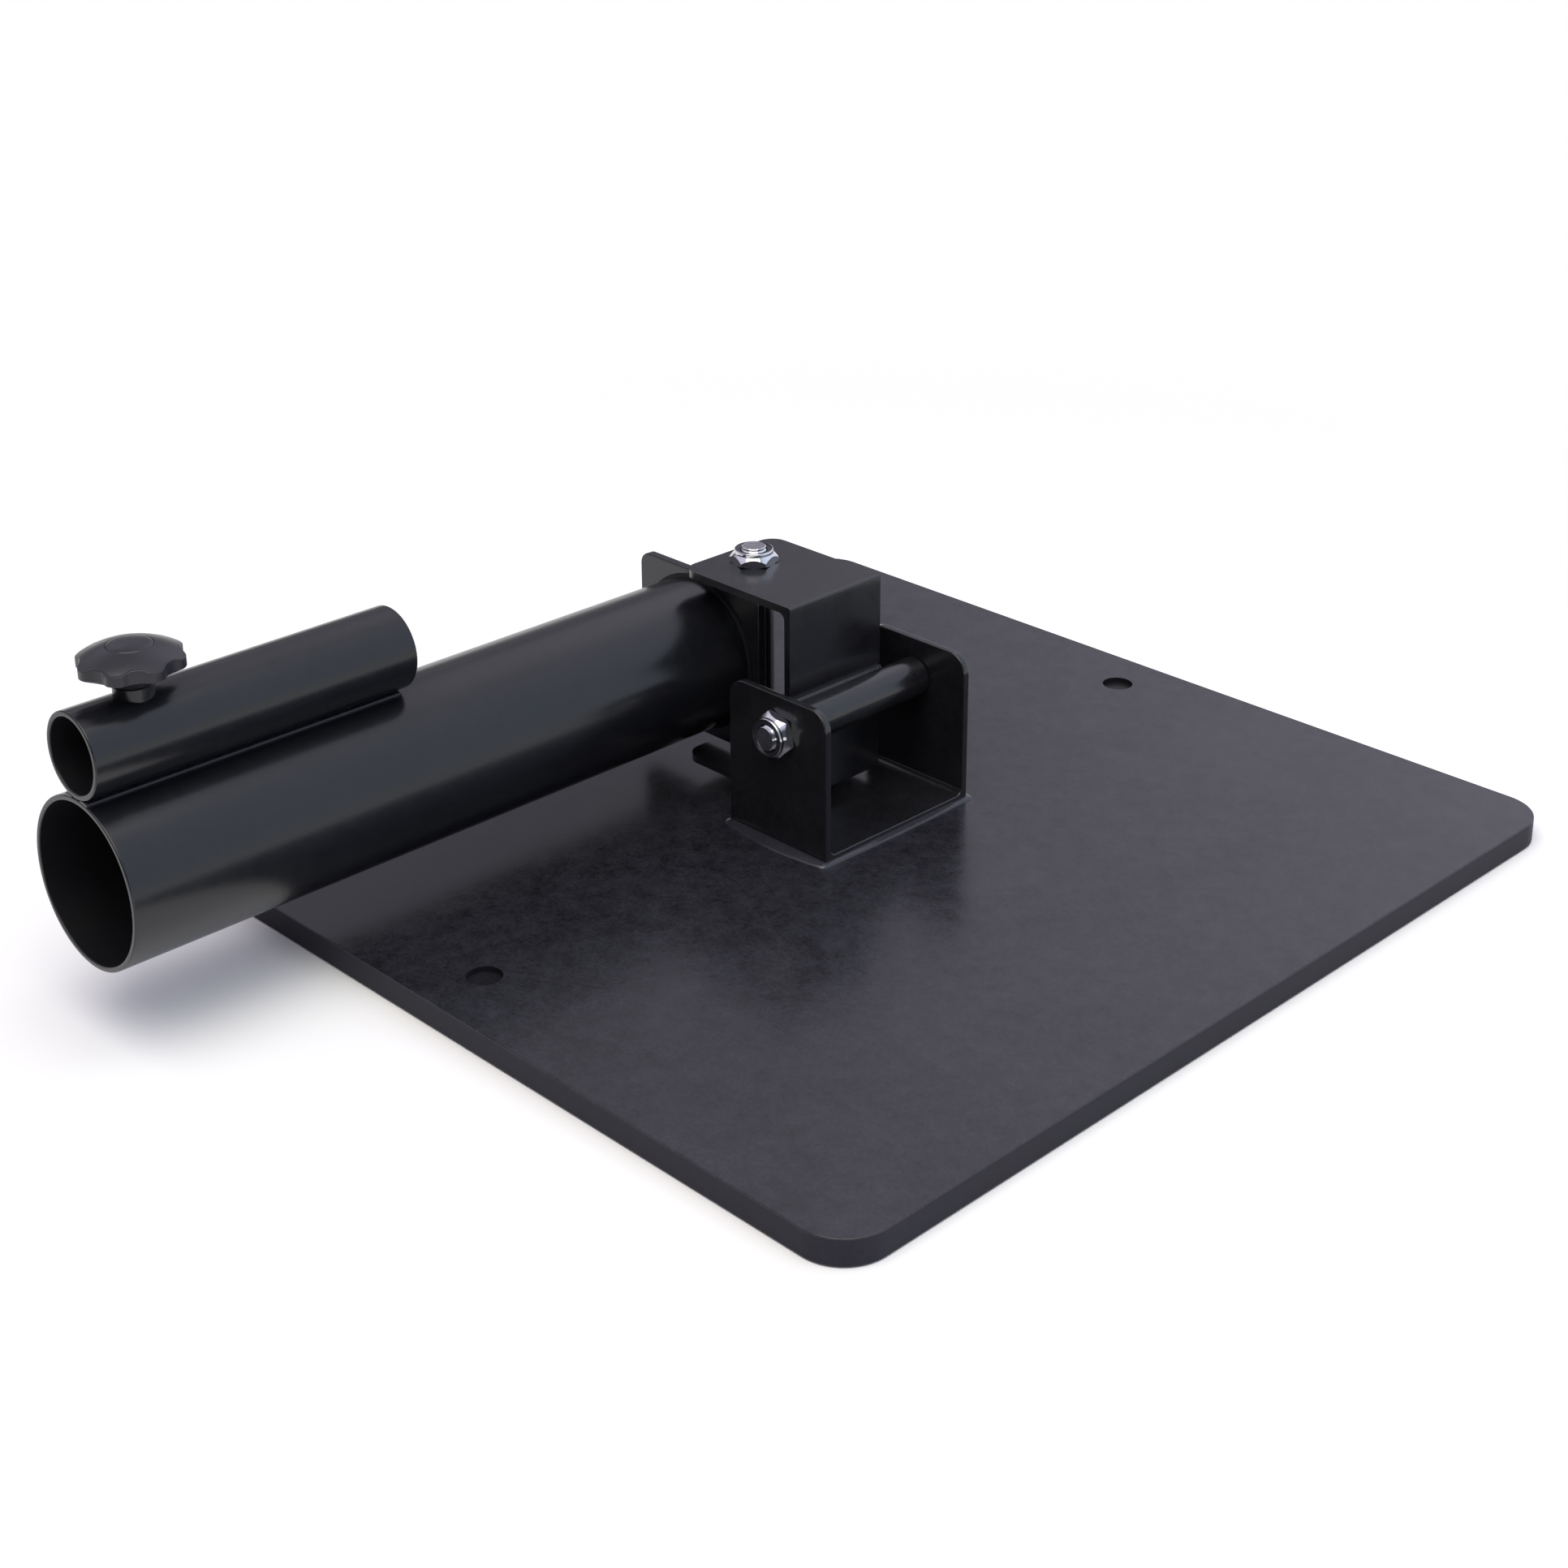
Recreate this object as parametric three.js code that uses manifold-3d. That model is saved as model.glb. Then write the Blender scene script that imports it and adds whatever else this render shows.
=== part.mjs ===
// Barbell pivot attachment: floor plate, clevis, tilting yoke, swivelling bar tubes and clamp knob.
// Lengths are in millimetres and +Z is up. The origin is the centre of the plate's underside.
// +X and +Y are the plate's edges, and the bar tubes lie along -Y as they do in the photograph.

import * as THREE from 'three';
import { mergeVertices } from 'three/addons/utils/BufferGeometryUtils.js';
import Module from 'manifold-3d';

const wasm = await Module();
wasm.setup();

// Floor plate
const PLATE_SIDE = 400;
const PLATE_THICKNESS = 10;
const PLATE_CORNER_RADIUS = 18;
const PLATE_EDGE_ROUNDING = 0.8;
const RECESS_DIAMETER = 13;
const RECESS_DEPTH = 2.2;
const RECESS_EDGE_DISTANCE = 24;
const RECESS_SIDE_SHIFT = 2;

// Clevis, a U of folded sheet welded on the plate
const CLEVIS_DEPTH = 52.2;
const CLEVIS_WIDTH = 79.8;
const CLEVIS_HEIGHT = 62;
const CLEVIS_SHEET = 3;
const CLEVIS_INNER_BEND = 2.5;
const CLEVIS_OUTER_BEND = 1;
const CLEVIS_SHIFT_X = 3.5;
const CLEVIS_SHIFT_Y = 5;
const EAR_CORNER_RADIUS = 8;
const SHEET_EDGE_ROUNDING = 0.35;
const FOOT_WELD_HEIGHT = 1.3;
const FOOT_WELD_LIP = 0.4;
const FOOT_WELD_FRONT_CORNER = 2.8;
const FOOT_WELD_FRONT_BULGE = 2.8;
const FOOT_WELD_SIDE_CORNER = 1.5;
const FOOT_WELD_SIDE_BULGE = 0.8;
const FOOT_WELD_CORNER_RADIUS = 1.4;
const FOOT_WELD_MIDDLE_SHARE = 0.8;

// Pivot, the lying bolt through the clevis and the sleeve that turns on it
const BOLT_DIAMETER = 10;
const PIVOT_HEIGHT = 46.3;
const PIVOT_SHIFT_X = 0.2;
const PIVOT_SLEEVE_DIAMETER = 16.2;
const PIVOT_WELD_WEB_SHARE = 0.86;
const PIVOT_WELD_TOP_SHARE = 0.66;
const PIVOT_WELD_BULGE_SHARE = 0.08;
const PIVOT_WELD_END_SETBACK = 1.5;
const PIVOT_NUT_TURN_DEGREES = 46;

// Yoke, a C of folded sheet welded on the pivot sleeve
const YOKE_DEPTH = 60.5;
const YOKE_WIDTH = 50;
const YOKE_HEIGHT = 82.65;
const YOKE_DROP = 38.45;
const YOKE_SHEET = 3;
const YOKE_INNER_BEND = 3;
const YOKE_OUTER_BEND = 0.8;
const YOKE_CORNER_RADIUS = 7;

// Swivel, the upright bolt through the yoke and the sleeve that turns on it
const SWIVEL_REACH = 45.5;
const SWIVEL_SLEEVE_DIAMETER = 16;
const SWIVEL_WELD_PLATE_SHARE = 0.95;
const SWIVEL_WELD_SIDE_SHARE = 0.62;
const SWIVEL_WELD_BULGE_SHARE = 0.08;
const SWIVEL_WELD_LENGTH_SHARE = 0.88;
const SWIVEL_NUT_TURN_DEGREES = -15;
const SWIVEL_HEAD_WASHER_DIAMETER = 20;
const SWIVEL_HEAD_WASHER_THICKNESS = 1.2;

// Hexagon fasteners
const HEX_ACROSS_FLATS = 17;
const HEAD_HEIGHT = 6.4;
const HEAD_CHAMFER_SHARE = 0.16;
const BOLT_TIP_CHAMFER = 0.5;
const BOLT_TIP_REACH = 1;
const NUT_HEIGHT = 5.7;
const NUT_CHAMFER_MARGIN = 0.4;
const NUT_COLLAR_DIAMETER = 15.6;
const NUT_COLLAR_HEIGHT = 1.5;
const NUT_CONE_SLOPE_SHARE = 1.15;
const NUT_LIP_INSET = 0.45;
const NUT_LIP_ROUNDING = 0.25;
const NUT_LIP_WIDTH = 0.35;
const NUT_INSERT_HEIGHT = 1.9;
const NUT_INSERT_SETBACK = 0.25;

// Square end plate behind the large tube
const END_PLATE_WIDTH = 69.4;
const END_PLATE_THICKNESS = 4;
const END_PLATE_CORNER_RADIUS = 5;
const END_PLATE_REACH = 15.1;
const END_PLATE_EDGE_ROUNDING = 0.3;

// Bar tubes
const MAIN_TUBE_DIAMETER = 62.4;
const MAIN_TUBE_WALL = 2;
const MAIN_TUBE_LENGTH = 276.7;
const MAIN_TUBE_OFF_CENTRE = 1.45;
const MAIN_TUBE_WELD_LEG = 1.4;
const MAIN_TUBE_WELD_BULGE_SHARE = 0.62;
const SMALL_TUBE_DIAMETER = 31;
const SMALL_TUBE_WALL = 2;
const SMALL_TUBE_LENGTH = 128.5;
const TUBE_RIM_ROUNDING = 0.5;
const TUBE_STRIP_HALF_WIDTH = 6.8;
const TUBE_STRIP_ROOT = 2.5;
const TUBE_STRIP_TOP_EDGE = 4.2;
const TUBE_STRIP_SIDE_HEIGHT = 1.1;
const TUBE_STRIP_END_SETBACK = 2.3;

// Clamp knob and its stud
const KNOB_MOUTH_DISTANCE = 24.9;
const BOSS_DIAMETER = 14;
const BOSS_HEIGHT = 3.2;
const KNOB_DIAMETER = 36.8;
const KNOB_LOBE_DEPTH = 2.1;
const KNOB_LOBE_ROLL = 0.7;
const KNOB_LOBE_ROLL_RISE = 0.4;
const KNOB_LOBE_ROLL_HEIGHT = 0.6;
const KNOB_LOBE_TURN_DEGREES = -48;
const KNOB_FOOT_DIAMETER = 14;
const KNOB_RIM_BOTTOM = 5.9;
const KNOB_RIM_TOP = 9.1;
const KNOB_CROWN_HEIGHT = 14.5;
const KNOB_RIM_ROUNDING = 0.45;
const KNOB_CAP_DIAMETER = 15.6;
const KNOB_CAP_DEPTH = 2.4;
const KNOB_CAP_PROUD = 0.12;
const KNOB_CAP_ROUNDING = 0.3;
const STUD_DIAMETER = 8;
const STUD_SOCKET_DEPTH = 9;
const STUD_PAD_DIAMETER = 6.2;
const STUD_PAD_HEIGHT = 2.6;
const STUD_PAD_STEM_DIAMETER = 3.2;
const STUD_PAD_STEM_LENGTH = 3;
const STUD_PAD_ROUNDING = 0.5;
const CLAMP_STROKE = 6.2;

// Clearances
const TURN_GAP = 0.3;
const HOLE_GAP = 0.3;
const WELD_GAP = 0.1;
const TUBE_REST_GAP = 0.2;
const END_PLATE_LOWER_GAP = 3.345;
const END_PLATE_UPPER_GAP = 4.005;
const KNOB_REST_GAP = 0.1;
const CUT_OVERRUN = 2;
const JOIN_TOLERANCE = 0.0005;

// Facets
const LARGE_FACETS = 120;
const TUBE_FACETS = 84;
const SLEEVE_FACETS = 56;
const BOLT_FACETS = 48;
const CORNER_FACETS = 8;
const ROUNDING_FACETS = 2;
const LOBE_COUNT = 8;
const LOBE_FACETS = 12;
const LOBE_FLATNESS = 1.3;
const DOME_FACETS = 9;
const WELD_SIDE_FACETS = 14;
const HEX_SIDES = 6;

// Derived positions in the frame of the whole object
const QUARTER_TURN = Math.PI / 2;
const HEX_CORNER_RADIUS = HEX_ACROSS_FLATS / 2 / Math.cos(Math.PI / HEX_SIDES);
const PIVOT_X = CLEVIS_SHIFT_X + PIVOT_SHIFT_X;
const PIVOT_Z = PLATE_THICKNESS + PIVOT_HEIGHT;
const EAR_OUTER = CLEVIS_WIDTH / 2;
const BOLT_HOLE_RADIUS = BOLT_DIAMETER / 2 + HOLE_GAP;

// Derived positions in the frame of the yoke, whose origin is the pivot axis
const PIVOT_SLEEVE_RADIUS = PIVOT_SLEEVE_DIAMETER / 2;
const PIVOT_SLEEVE_LENGTH = CLEVIS_WIDTH - CLEVIS_SHEET * 2 - TURN_GAP * 2;
const YOKE_WEB_X = -PIVOT_SLEEVE_RADIUS - WELD_GAP;
const YOKE_MIDDLE_Z = YOKE_HEIGHT / 2 - YOKE_DROP;
const SWIVEL_X = YOKE_WEB_X - SWIVEL_REACH;

// Derived positions in the frame of the bar tubes, whose origin is the swivel axis
const SWIVEL_SLEEVE_RADIUS = SWIVEL_SLEEVE_DIAMETER / 2;
const SWIVEL_SLEEVE_LENGTH = YOKE_HEIGHT - YOKE_SHEET * 2 - TURN_GAP * 2;
const FLANGE_INNER = YOKE_HEIGHT / 2 - YOKE_SHEET;
const END_PLATE_HEIGHT = FLANGE_INNER * 2 - END_PLATE_LOWER_GAP - END_PLATE_UPPER_GAP;
const END_PLATE_X = END_PLATE_REACH - END_PLATE_WIDTH / 2;
const END_PLATE_Z = (END_PLATE_LOWER_GAP - END_PLATE_UPPER_GAP) / 2;
const MAIN_TUBE_X = END_PLATE_X - MAIN_TUBE_OFF_CENTRE;
const END_PLATE_BACK = -SWIVEL_SLEEVE_RADIUS - WELD_GAP;
const END_PLATE_FRONT = END_PLATE_BACK - END_PLATE_THICKNESS;
const MAIN_TUBE_RADIUS = MAIN_TUBE_DIAMETER / 2;
const SMALL_TUBE_RADIUS = SMALL_TUBE_DIAMETER / 2;
const SMALL_TUBE_Z = MAIN_TUBE_RADIUS + TUBE_REST_GAP + SMALL_TUBE_RADIUS;
const TUBE_MOUTH_Y = END_PLATE_FRONT - MAIN_TUBE_LENGTH;
const KNOB_Y = TUBE_MOUTH_Y + KNOB_MOUTH_DISTANCE;

// Colours and finishes
const BLACK_COAT = { color: 0x33323a, roughness: 0.42, metalness: 0.35 };
const DARK_COAT = { color: 0x2b2b31, roughness: 0.4, metalness: 0.35 };
const TUBE_COAT = { color: 0x34363f, roughness: 0.38, metalness: 0.35 };
const WELD_COAT = { color: 0x3c3b43, roughness: 0.4, metalness: 0.35 };
const BRIGHT_ZINC = { color: 0xc9cace, roughness: 0.16, metalness: 1 };
const PALE_NYLON = { color: 0xd9dade, roughness: 0.5, metalness: 0 };
const DARK_PLASTIC = { color: 0x3a3a40, roughness: 0.5, metalness: 0 };

// A solid from a closed surface, turned outward
function toSolid(geometry) {
  const bare = geometry.index ? geometry.toNonIndexed() : geometry.clone();
  bare.deleteAttribute('normal');
  bare.deleteAttribute('uv');
  const joined = mergeVertices(bare, JOIN_TOLERANCE);
  const points = joined.getAttribute('position');
  const corners = joined.index.array;
  const kept = [];
  let volume = 0;
  for (let i = 0; i < corners.length; i += 3) {
    const [a, b, c] = [corners[i], corners[i + 1], corners[i + 2]];
    if (a === b || b === c || c === a) {
      continue;
    }
    kept.push(a, b, c);
    const va = new THREE.Vector3().fromBufferAttribute(points, a);
    const vb = new THREE.Vector3().fromBufferAttribute(points, b);
    const vc = new THREE.Vector3().fromBufferAttribute(points, c);
    volume += va.dot(vb.cross(vc));
  }
  if (volume < 0) {
    kept.reverse();
  }
  const mesh = new wasm.Mesh({
    numProp: 3,
    vertProperties: new Float32Array(points.array),
    triVerts: new Uint32Array(kept),
  });
  return new wasm.Manifold(mesh);
}

// A drawable surface from a solid
function toGeometry(solid) {
  const mesh = solid.getMesh();
  const geometry = new THREE.BufferGeometry();
  geometry.setAttribute('position', new THREE.BufferAttribute(mesh.vertProperties, 3));
  geometry.setIndex(new THREE.BufferAttribute(mesh.triVerts, 1));
  const flat = geometry.toNonIndexed();
  flat.computeVertexNormals();
  return flat;
}

// A named piece with its own finish
function piece(name, solid, finish) {
  const mesh = new THREE.Mesh(toGeometry(solid), new THREE.MeshStandardMaterial(finish));
  mesh.name = name;
  return mesh;
}

// A solid turned about Z, drawn as radius and height, from the axis to the axis
function turned(profile, facets) {
  const points = profile.map(([radius, height]) => new THREE.Vector2(radius, height));
  const geometry = new THREE.LatheGeometry(points, facets);
  geometry.rotateX(Math.PI / 2);
  return toSolid(geometry);
}

// A ring turned about Z, drawn as a closed section of radius and height
function ring(section, facets) {
  return turned([...section, section[0]], facets);
}

// A plain round bar along Z
function bar(radius, low, high, facets) {
  return turned([[0, low], [radius, low], [radius, high], [0, high]], facets);
}

// A prism from an outline in the plane of X and Y, between two heights
function prism(shape, low, high) {
  const options = { depth: high - low, bevelEnabled: false, curveSegments: CORNER_FACETS };
  const geometry = new THREE.ExtrudeGeometry(shape, options);
  geometry.translate(0, 0, low);
  return toSolid(geometry);
}

// A prism with both rims rounded, of the full size between the roundings
function roundedPrism(shape, low, high, rounding) {
  const options = {
    depth: high - low - rounding * 2,
    bevelEnabled: true,
    bevelThickness: rounding,
    bevelSize: rounding,
    bevelOffset: -rounding,
    bevelSegments: ROUNDING_FACETS,
    curveSegments: CORNER_FACETS,
  };
  const geometry = new THREE.ExtrudeGeometry(shape, options);
  geometry.translate(0, 0, low + rounding);
  return toSolid(geometry);
}

// An outline with rounded corners, each corner given as x, y and radius, counter-clockwise
function roundedOutline(corners) {
  const shape = new THREE.Shape();
  const count = corners.length;
  corners.forEach(([x, y, radius], index) => {
    const before = corners[(index + count - 1) % count];
    const after = corners[(index + 1) % count];
    const here = new THREE.Vector2(x, y);
    const back = new THREE.Vector2(before[0], before[1]).sub(here).normalize();
    const ahead = new THREE.Vector2(after[0], after[1]).sub(here).normalize();
    const half = Math.acos(back.dot(ahead)) / 2;
    const run = radius / Math.tan(half);
    const start = here.clone().addScaledVector(back, run);
    if (index === 0) {
      shape.moveTo(start.x, start.y);
    } else {
      shape.lineTo(start.x, start.y);
    }
    if (radius > 0) {
      const middle = back.clone().add(ahead).normalize();
      const centre = here.clone().addScaledVector(middle, radius / Math.sin(half));
      const end = here.clone().addScaledVector(ahead, run);
      const turnLeft = back.x * ahead.y - back.y * ahead.x < 0;
      const from = Math.atan2(start.y - centre.y, start.x - centre.x);
      const to = Math.atan2(end.y - centre.y, end.x - centre.x);
      shape.absarc(centre.x, centre.y, radius, from, to, !turnLeft);
    }
  });
  shape.closePath();
  return shape;
}

// A rectangle with rounded corners about a centre
function rectangle(centreX, centreY, width, height, radius) {
  const [x0, x1] = [centreX - width / 2, centreX + width / 2];
  const [y0, y1] = [centreY - height / 2, centreY + height / 2];
  return roundedOutline([[x0, y0, radius], [x1, y0, radius], [x1, y1, radius], [x0, y1, radius]]);
}

// A plain outline through points
function outline(points) {
  return new THREE.Shape(points.map(([x, y]) => new THREE.Vector2(x, y)));
}

// A solid laid so that its X, Y and Z run along Y, Z and X
function laidAlongX(solid) {
  return solid.rotate([90, 0, 90]);
}

// A solid laid so that its Y and Z run along Z and -Y
function laidAlongY(solid) {
  return solid.rotate([90, 0, 0]);
}

// A solid stacked from outlines of equal point counts, each given as points with one height
function stacked(layers) {
  const count = layers[0].length;
  const triangles = [];
  const quad = (a, b, c, d) => triangles.push(...a, ...b, ...c, ...a, ...c, ...d);
  for (let level = 0; level + 1 < layers.length; level += 1) {
    const [low, high] = [layers[level], layers[level + 1]];
    for (let i = 0; i < count; i += 1) {
      const next = (i + 1) % count;
      quad(low[i], low[next], high[next], high[i]);
    }
  }
  const cap = (layer, upward) => {
    const contour = layer.map(([x, y]) => new THREE.Vector2(x, y));
    THREE.ShapeUtils.triangulateShape(contour, []).forEach(([a, b, c]) => {
      const corners = upward ? [a, b, c] : [a, c, b];
      corners.forEach((corner) => triangles.push(...layer[corner]));
    });
  };
  cap(layers[0], false);
  cap(layers[layers.length - 1], true);
  const geometry = new THREE.BufferGeometry();
  geometry.setAttribute('position', new THREE.Float32BufferAttribute(triangles, 3));
  return toSolid(geometry);
}

// Square floor plate with two shallow round recesses near opposite edges
function basePlate() {
  const shape = rectangle(0, 0, PLATE_SIDE, PLATE_SIDE, PLATE_CORNER_RADIUS);
  let solid = roundedPrism(shape, 0, PLATE_THICKNESS, PLATE_EDGE_ROUNDING);
  const floor = PLATE_THICKNESS - RECESS_DEPTH;
  const reach = PLATE_SIDE / 2 - RECESS_EDGE_DISTANCE;
  [-reach, reach].forEach((y) => {
    const cutter = bar(RECESS_DIAMETER / 2, floor, PLATE_THICKNESS + CUT_OVERRUN, BOLT_FACETS);
    solid = solid.subtract(cutter.translate([RECESS_SIDE_SHIFT, y, 0]));
  });
  return piece('base_plate', solid, BLACK_COAT);
}

// Profile of the folded U, seen along X
function clevisProfile() {
  const half = CLEVIS_WIDTH / 2;
  const inner = half - CLEVIS_SHEET;
  return roundedOutline([
    [-half, 0, CLEVIS_OUTER_BEND],
    [half, 0, CLEVIS_OUTER_BEND],
    [half, CLEVIS_HEIGHT, 0],
    [inner, CLEVIS_HEIGHT, 0],
    [inner, CLEVIS_SHEET, CLEVIS_INNER_BEND],
    [-inner, CLEVIS_SHEET, CLEVIS_INNER_BEND],
    [-inner, CLEVIS_HEIGHT, 0],
    [-half, CLEVIS_HEIGHT, 0],
  ]);
}

// Front view of the clevis, with the rounded ear tops
function clevisFace() {
  const half = CLEVIS_DEPTH / 2;
  const under = -CUT_OVERRUN;
  return roundedOutline([
    [-half - CUT_OVERRUN, under, 0],
    [half + CUT_OVERRUN, under, 0],
    [half + CUT_OVERRUN, CLEVIS_HEIGHT / 2, 0],
    [half, CLEVIS_HEIGHT / 2, 0],
    [half, CLEVIS_HEIGHT, EAR_CORNER_RADIUS],
    [-half, CLEVIS_HEIGHT, EAR_CORNER_RADIUS],
    [-half, CLEVIS_HEIGHT / 2, 0],
    [-half - CUT_OVERRUN, CLEVIS_HEIGHT / 2, 0],
  ]);
}

// Clevis with one hole through both ears
function clevisBracket() {
  const half = CLEVIS_DEPTH / 2;
  const bent = laidAlongX(roundedPrism(clevisProfile(), -half, half, SHEET_EDGE_ROUNDING));
  const reach = EAR_OUTER + CUT_OVERRUN;
  const face = laidAlongY(prism(clevisFace(), -reach, reach));
  const hole = laidAlongY(bar(BOLT_HOLE_RADIUS, -reach, reach, BOLT_FACETS));
  const solid = bent.intersect(face).subtract(hole.translate([PIVOT_SHIFT_X, 0, PIVOT_HEIGHT]));
  return piece('clevis_bracket', solid, DARK_COAT);
}

// One layer of the foot weld, a share of its full width at one height
function footWeldLayer(widthShare, height) {
  const halfX = CLEVIS_DEPTH / 2;
  const halfY = CLEVIS_WIDTH / 2;
  const front = [FOOT_WELD_FRONT_CORNER, FOOT_WELD_FRONT_BULGE];
  const side = [FOOT_WELD_SIDE_CORNER, FOOT_WELD_SIDE_BULGE];
  const points = [];
  const spread = ([corner, bulge], along) => {
    const bump = bulge * Math.sin(Math.PI * along);
    return FOOT_WELD_LIP + (corner + bump - FOOT_WELD_LIP) * widthShare;
  };
  const turns = [[0, -1], [1, 0], [0, 1], [-1, 0]];
  turns.forEach(([nx, ny], index) => {
    const width = nx === 0 ? front : side;
    const other = nx === 0 ? side : front;
    const halfRun = (nx === 0 ? halfX : halfY) + spread(other, 0) - FOOT_WELD_CORNER_RADIUS;
    const face = nx === 0 ? halfY : halfX;
    for (let i = 0; i <= WELD_SIDE_FACETS; i += 1) {
      const along = i / WELD_SIDE_FACETS;
      const run = halfRun * (along * 2 - 1);
      const out = face + spread(width, along);
      points.push([nx * out - ny * run, ny * out + nx * run, height]);
    }
  });
  return points;
}

// Weld bead around the foot of the clevis
function clevisWeld() {
  const middle = FOOT_WELD_HEIGHT / 2;
  const layers = [
    footWeldLayer(1, 0),
    footWeldLayer(FOOT_WELD_MIDDLE_SHARE, middle),
    footWeldLayer(0, FOOT_WELD_HEIGHT),
  ];
  const half = CLEVIS_DEPTH / 2;
  const foot = laidAlongX(prism(clevisProfile(), -half, half));
  const core = prism(rectangle(0, 0, CLEVIS_DEPTH, CLEVIS_WIDTH - CLEVIS_SHEET, 0), 0, CLEVIS_SHEET);
  const solid = stacked(layers).subtract(foot).subtract(core);
  return piece('clevis_weld', solid, WELD_COAT);
}

// Hexagonal bar about Z
function hexBar(low, high) {
  const corners = [];
  for (let i = 0; i < HEX_SIDES; i += 1) {
    const angle = (i * Math.PI * 2) / HEX_SIDES;
    corners.push([HEX_CORNER_RADIUS * Math.cos(angle), HEX_CORNER_RADIUS * Math.sin(angle)]);
  }
  return prism(outline(corners), low, high);
}

// Hexagon bolt with its head below Z = 0 and its shank upward
function hexBolt(shank) {
  const radius = BOLT_DIAMETER / 2;
  const chamfer = HEAD_HEIGHT * HEAD_CHAMFER_SHARE;
  const flats = HEX_ACROSS_FLATS / 2;
  const wide = HEX_CORNER_RADIUS + chamfer;
  const envelope = turned([
    [0, -HEAD_HEIGHT],
    [flats, -HEAD_HEIGHT],
    [wide, -HEAD_HEIGHT + (wide - flats) * Math.tan(Math.PI / HEX_SIDES)],
    [wide, CUT_OVERRUN],
    [0, CUT_OVERRUN],
  ], BOLT_FACETS);
  const head = hexBar(-HEAD_HEIGHT, 0).intersect(envelope);
  const stem = turned([
    [0, -HEAD_HEIGHT / 2],
    [radius, -HEAD_HEIGHT / 2],
    [radius, shank - BOLT_TIP_CHAMFER],
    [radius - BOLT_TIP_CHAMFER, shank],
    [0, shank],
  ], BOLT_FACETS);
  return head.add(stem);
}

// Radii and heights of the lip of a lock nut and of the pocket for its nylon ring
function nutLevels() {
  const lip = NUT_COLLAR_DIAMETER / 2 - NUT_LIP_INSET;
  const insertTop = NUT_HEIGHT - NUT_INSERT_SETBACK;
  return { lip, pocket: lip - NUT_LIP_WIDTH, insertTop, insertFoot: insertTop - NUT_INSERT_HEIGHT };
}

// Hexagon lock nut with a steep cone up to a round lip that holds a ring of nylon, seated on Z = 0
function lockNut() {
  const { lip, pocket, insertFoot } = nutLevels();
  const hole = BOLT_HOLE_RADIUS;
  const collar = NUT_COLLAR_DIAMETER / 2;
  const collarFoot = NUT_HEIGHT - NUT_COLLAR_HEIGHT;
  const seat = HEX_ACROSS_FLATS / 2;
  const wide = HEX_CORNER_RADIUS + NUT_CHAMFER_MARGIN;
  const body = ring([
    [hole, 0],
    [seat, 0],
    [wide, (wide - seat) * Math.tan(Math.PI / HEX_SIDES)],
    [wide, collarFoot - (wide - collar) * NUT_CONE_SLOPE_SHARE],
    [collar, collarFoot],
    [lip, NUT_HEIGHT - NUT_LIP_ROUNDING],
    [lip - NUT_LIP_ROUNDING, NUT_HEIGHT],
    [pocket, NUT_HEIGHT],
    [pocket, insertFoot],
    [hole, insertFoot],
  ], BOLT_FACETS);
  return hexBar(-CUT_OVERRUN, NUT_HEIGHT + CUT_OVERRUN).intersect(body);
}

// Nylon ring in the lip of a nut
function nutInsert() {
  const { pocket, insertTop, insertFoot } = nutLevels();
  const hole = BOLT_HOLE_RADIUS;
  const section = [[hole, insertFoot], [pocket, insertFoot], [pocket, insertTop], [hole, insertTop]];
  return ring(section, BOLT_FACETS);
}

// Lying pivot bolt, its head on the far ear
function pivotBolt() {
  const shank = CLEVIS_WIDTH + NUT_HEIGHT + BOLT_TIP_REACH;
  const mesh = piece('pivot_bolt', hexBolt(shank), BRIGHT_ZINC);
  mesh.position.set(PIVOT_SHIFT_X, EAR_OUTER, PIVOT_HEIGHT);
  mesh.rotation.x = QUARTER_TURN;
  return mesh;
}

// Nut and nylon ring on the near ear
function pivotNutPair() {
  const nut = piece('pivot_nut', lockNut(), BRIGHT_ZINC);
  const insert = piece('pivot_nut_insert', nutInsert(), PALE_NYLON);
  const pair = new THREE.Group();
  pair.name = 'pivot_nut_pair';
  pair.add(nut, insert);
  pair.position.set(PIVOT_SHIFT_X, -EAR_OUTER, PIVOT_HEIGHT);
  pair.rotation.x = QUARTER_TURN;
  nut.rotation.z = THREE.MathUtils.degToRad(PIVOT_NUT_TURN_DEGREES);
  insert.rotation.z = nut.rotation.z;
  return pair;
}

// Sleeve on the pivot bolt, as long as the clevis is wide inside
function pivotSleeve() {
  const half = PIVOT_SLEEVE_LENGTH / 2;
  const [hole, outer] = [BOLT_HOLE_RADIUS, PIVOT_SLEEVE_RADIUS];
  const solid = ring([[hole, -half], [outer, -half], [outer, half], [hole, half]], SLEEVE_FACETS);
  const mesh = piece('pivot_sleeve', solid, DARK_COAT);
  mesh.rotation.x = QUARTER_TURN;
  return mesh;
}

// Bead in the corner between a sleeve about Z and a wall on its -X side
function cornerBead(sleeveRadius, wallShare, sleeveShare, bulgeShare, length) {
  const wall = -sleeveRadius - WELD_GAP;
  const top = sleeveRadius * wallShare;
  const touch = sleeveRadius * sleeveShare;
  const bulge = sleeveRadius * bulgeShare;
  const meet = -Math.sqrt(sleeveRadius ** 2 - touch ** 2);
  const section = outline([
    [wall, 0],
    [-sleeveRadius / 2, 0],
    [meet + bulge, touch],
    [(wall + meet) / 2 + bulge, (top + touch) / 2 + bulge],
    [wall, top],
  ]);
  const core = bar(sleeveRadius, -length, length, SLEEVE_FACETS);
  const root = prism(rectangle(wall, 0, sleeveRadius, touch, 0), -length, length);
  return prism(section, -length / 2, length / 2).subtract(core).subtract(root);
}

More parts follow.
